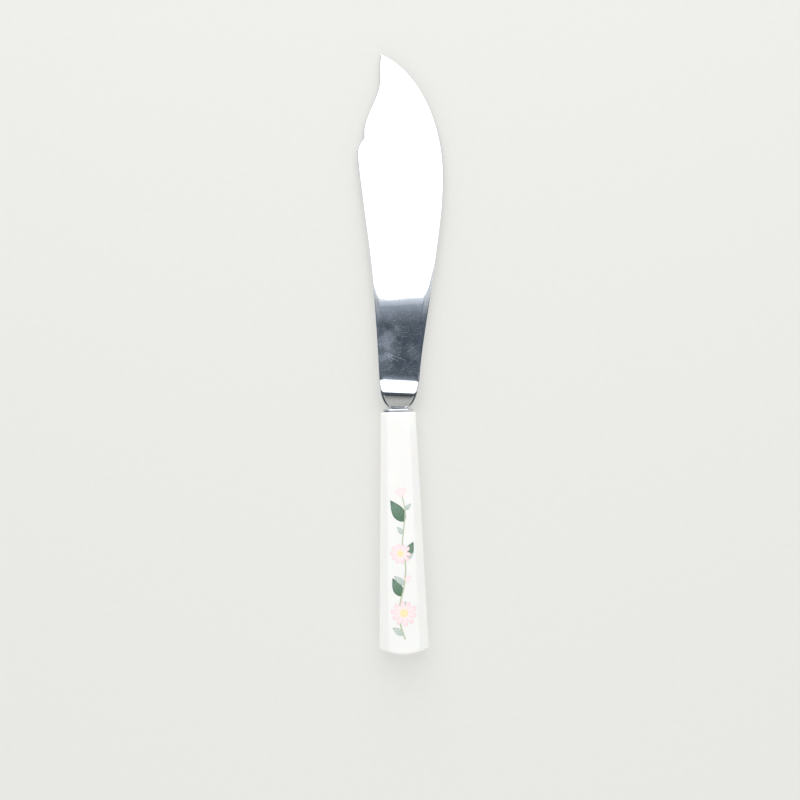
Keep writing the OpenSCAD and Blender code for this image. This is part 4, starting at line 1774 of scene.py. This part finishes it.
@dataclass
class Studio:
    """The plain pale floor, the soft light and the camera straight above the knife."""

    view_centre: Spot = (1.0, 5.6)
    view_width: float = 372.7
    roll: float = -1.466
    lens: float = 100.0
    sensor: float = 36.0
    focus_height: float = 6.0
    floor_size: float = 6000.0
    floor_drop: float = 0.1
    softboxes: tuple[Softbox, ...] = (
        Softbox("leaning_softbox", (137.8, 1200.0), (1350.0, 60.0), width=1100.0, radiance=1.68, turn=3.4),
        Softbox("fill_softbox", (-800.0, 800.0), (-1000.0, 20.0), width=1400.0, radiance=0.9),
    )
    zenith: str = "#C8C8C7"
    horizon: str = "#DBDCDA"
    flag_tint: str = "#4C4F52"
    flag_fibre: str = "#46494C"
    flag_height: float = 1250.0
    flag_back: float = -386.5
    flag_front: float = 143.0
    flag_fade: float = 36.0
    flag_side: float = 60.0
    band_depth: Range = (10.0, 5.7)
    band_fade: float = 43.0
    wall_side: float = 420.0
    scrim_fade: float = 30.5
    shade_front: float = -150.0
    dusk_fade: float = 4.5
    dusk_lean: float = 0.05
    dusk_delay: float = 2.2
    dusk_back: float = -900.0
    card_gap: float = 1.0
    lip_rim: tuple[Spot, ...] = (
        (20.0, 139.5), (38.0, 137.2), (57.0, 135.0), (57.0, 108.0),
        (420.0, 108.0), (420.0, 172.0), (20.0, 172.0),
    )

    def hang(self, card: Card) -> Object:
        """Make one card.

        Args:
            card: The card.

        Returns:
            The card as an object.
        """
        mesh = bpy.data.meshes.new(card.name)
        mesh.from_pydata(card.corners, [], [tuple(range(len(card.corners)))])
        mesh.materials.append(card.stock.material())
        sheet = place(card.name, mesh, Matrix.Scale(MM, 4))
        return sheet

    def floor(self) -> None:
        """Lay the floor."""
        half, z = self.floor_size / 2, -self.floor_drop
        corners = [(-half, -half, z), (half, -half, z), (half, half, z), (-half, half, z)]
        opal = CardStock("opal_floor_sheet", "#A9A9A7", "#A4A4A2", glow=0.42)
        self.hang(Card("studio_floor", corners, opal))

    def dark_stock(self) -> CardStock:
        """Give the finish of the dark cards."""
        return CardStock("dark_flag_card", self.flag_tint, self.flag_fibre)

    def heel_cards(self) -> list[Card]:
        """List the cards above the heel: a faded one, a dark one, a grey one and a pale band.

        Returns:
            The cards.
        """
        front, shade, back, z = self.flag_front, self.shade_front, self.flag_back, self.flag_height
        side, wall = self.flag_side, self.wall_side
        dusk = back - self.dusk_delay
        faded = GradedCard("faded_flag_card", front - self.flag_fade, front, pale="#DAE4F8", glow=0.15)
        grey = GradedCard(
            "faded_dusk_card", dusk, dusk - self.dusk_fade, self.flag_tint, "#E0DFD9", falloff=1.0, glow=0.1,
            streak_gap=5.0, streak_depth=0.45, way=(self.dusk_lean, 1.0, 0.0),
        )
        pale = GradedCard("faded_band_card", front - self.band_fade, front, falloff=1.0, glow=0.38)
        left_depth, right_depth = self.band_depth
        band = [(-side, front - left_depth), (-side, front), (side, front), (side, front - right_depth)]
        return [
            Card("heel_flag", level(oblong(-side, side, shade, front), z), faded),
            Card("shade_flag", level(oblong(-wall, wall, back, shade), z), self.dark_stock()),
            Card("dusk_flag", level(oblong(-wall, wall, self.dusk_back, back), z), grey),
            Card("pale_band", level(band, z - self.card_gap), pale),
        ]

    def wing_cards(self, wing: Wing) -> list[Card]:
        """List the cards at one side: a scrim above, and a faded and a dark wall.

        Args:
            wing: The side's places and tones.

        Returns:
            The cards.
        """
        scrim = GradedCard(
            f"faded_{wing.name}_scrim_card", wing.scrim_pale - self.scrim_fade, wing.scrim_pale,
            pale="#E6E8EE", falloff=1.5, glow=0.22, way=(wing.scrim_lean, 1.0, 0.0),
        )
        faded = GradedCard(
            f"faded_{wing.name}_wing_card", *wing.wall_fade, pale="#E8E8E6", falloff=1.5, glow=0.3,
            way=(0.0, 1.0, wing.wall_lean),
        )
        front, z = self.shade_front, self.flag_height
        inner, outer = wing.sign * self.flag_side * wing.scrim_height / z, wing.sign * self.wall_side
        outline = [(outer, front), *wing.scrim_rim, (inner, front)]
        cards = [Card(f"{wing.name}_scrim", level(outline, wing.scrim_height), scrim)]
        for kind, near, far, stock in (
            ("wing", front, self.flag_front, faded),
            ("shade", self.dusk_back, front, self.dark_stock()),
        ):
            corners = [(outer, near, 0.0), (outer, far, 0.0), (outer, far, z), (outer, near, z)]
            cards.append(Card(f"{wing.name}_{kind}", corners, stock))
        return cards

    def flags(self) -> None:
        """Hang the cards that only the steel and the glaze mirror: over the heel and at both sides."""
        lip = CardStock("white_lip_card", "#FAFAFA", "#F2F2F2", glow=1.7)
        above = RIGHT_WING.scrim_height + self.card_gap
        cards = [
            *self.heel_cards(),
            *self.wing_cards(LEFT_WING),
            *self.wing_cards(RIGHT_WING),
            Card("right_lip", level(self.lip_rim, above), lip),
        ]
        for card in cards:
            sheet = self.hang(card)
            sheet.visible_camera = sheet.visible_diffuse = sheet.visible_shadow = False

    def shine(self, box: Softbox) -> None:
        """Hang one leaning softbox that shines on the knife.

        Args:
            box: The softbox, in millimetres of the row frame.
        """
        drop, run = box.near[1] - box.far[1], box.far[0] - box.near[0]
        light = bpy.data.lights.new(box.name, "AREA")
        light.shape = "RECTANGLE"
        light.size = box.width * MM
        light.size_y = math.hypot(drop, run) * MM
        light.energy = box.radiance * math.pi * light.size * light.size_y
        lamp = bpy.data.objects.new(box.name, light)
        lamp.location = Vector((0.0, (box.near[0] + box.far[0]) / 2, (box.near[1] + box.far[1]) / 2)) * MM
        pitch = -math.atan2(drop, run) if run > 0 else math.atan2(drop, -run)
        lamp.rotation_euler = (pitch, 0.0, math.radians(box.turn))
        bpy.context.scene.collection.objects.link(lamp)

    def sky(self) -> None:
        """Set the soft light of the room, paler towards the horizon."""
        world = bpy.data.worlds.new("soft_room")
        world.use_nodes = True
        tree = world.node_tree
        tree.nodes.clear()
        heading = add_node(tree, "ShaderNodeTexCoord").outputs["Generated"]
        height = add_node(tree, "ShaderNodeSeparateXYZ", {0: heading}).outputs["Z"]
        tone = add_node(
            tree, MIX, {0: height, 6: linear(self.horizon), 7: linear(self.zenith)}, data_type="RGBA"
        )
        sky = add_node(tree, "ShaderNodeBackground", {"Color": tone.outputs[2], "Strength": 1.0})
        add_node(tree, "ShaderNodeOutputWorld", {"Surface": sky})
        bpy.context.scene.world = world

    def camera(self, lie: Lie) -> None:
        """Set the camera straight above the knife.

        Args:
            lie: How the knife lies.
        """
        data = bpy.data.cameras.new("camera")
        data.lens = self.lens
        data.sensor_width = self.sensor
        eye = bpy.data.objects.new("camera", data)
        middle = lie.knife() @ Vector((*self.view_centre, 0.0))
        far = self.view_width * self.lens / self.sensor
        eye.location = (middle.x, middle.y, (far + self.focus_height) * MM)
        eye.rotation_euler = (0.0, 0.0, math.radians(self.roll))
        bpy.context.scene.collection.objects.link(eye)
        bpy.context.scene.camera = eye
        bpy.context.scene.view_settings.view_transform = "Standard"

    def build(self, lie: Lie) -> None:
        """Set up the whole studio.

        Args:
            lie: How the knife lies.
        """
        self.camera(lie)
        self.floor()
        self.flags()
        for box in self.softboxes:
            self.shine(box)
        self.sky()


def main() -> None:
    """Build the knife's pieces in order, then the studio round them."""
    logging.basicConfig(level=logging.INFO, format="%(name)s: %(message)s")
    section = FacetSection()
    blade = Blade()
    slope = section.slope()
    low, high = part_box("handle")
    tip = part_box("blade")[1].y
    mouth_y = tip - (blade.length * math.cos(slope) + blade.tip_thickness / 2 * math.sin(slope)) * MM
    mouth_z = section.mouth_thickness / 2 * math.cos(slope) * MM
    lie = Lie(slope, Vector(((low.x + high.x) / 2, mouth_y, mouth_z)))
    sweep = facet_sweep()
    Studio().build(lie)
    buffed = PolishedSteel("buffed_stainless_steel", Grain.LENGTHWISE, smudges=SMUDGES, hairlines=HAIRLINES)
    blade.build(lie, buffed.material())
    turned = PolishedSteel("turned_stainless_cap", Grain.CROSSWISE, roughness=0.16)
    Ferrule(section).build(sweep, lie, turned.material())
    Handle(section).build(sweep, lie, GlazedChina().material())
    Sprig().build(lie.upper_facet(section.mouth_thickness / 2))
    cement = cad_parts["cement"]
    cement.data.materials.clear()
    cement.data.materials.append(SettingCement().material())
    log.info("cement: keeps its CAD solid inside the handle")


if __name__ == "__main__":
    main()
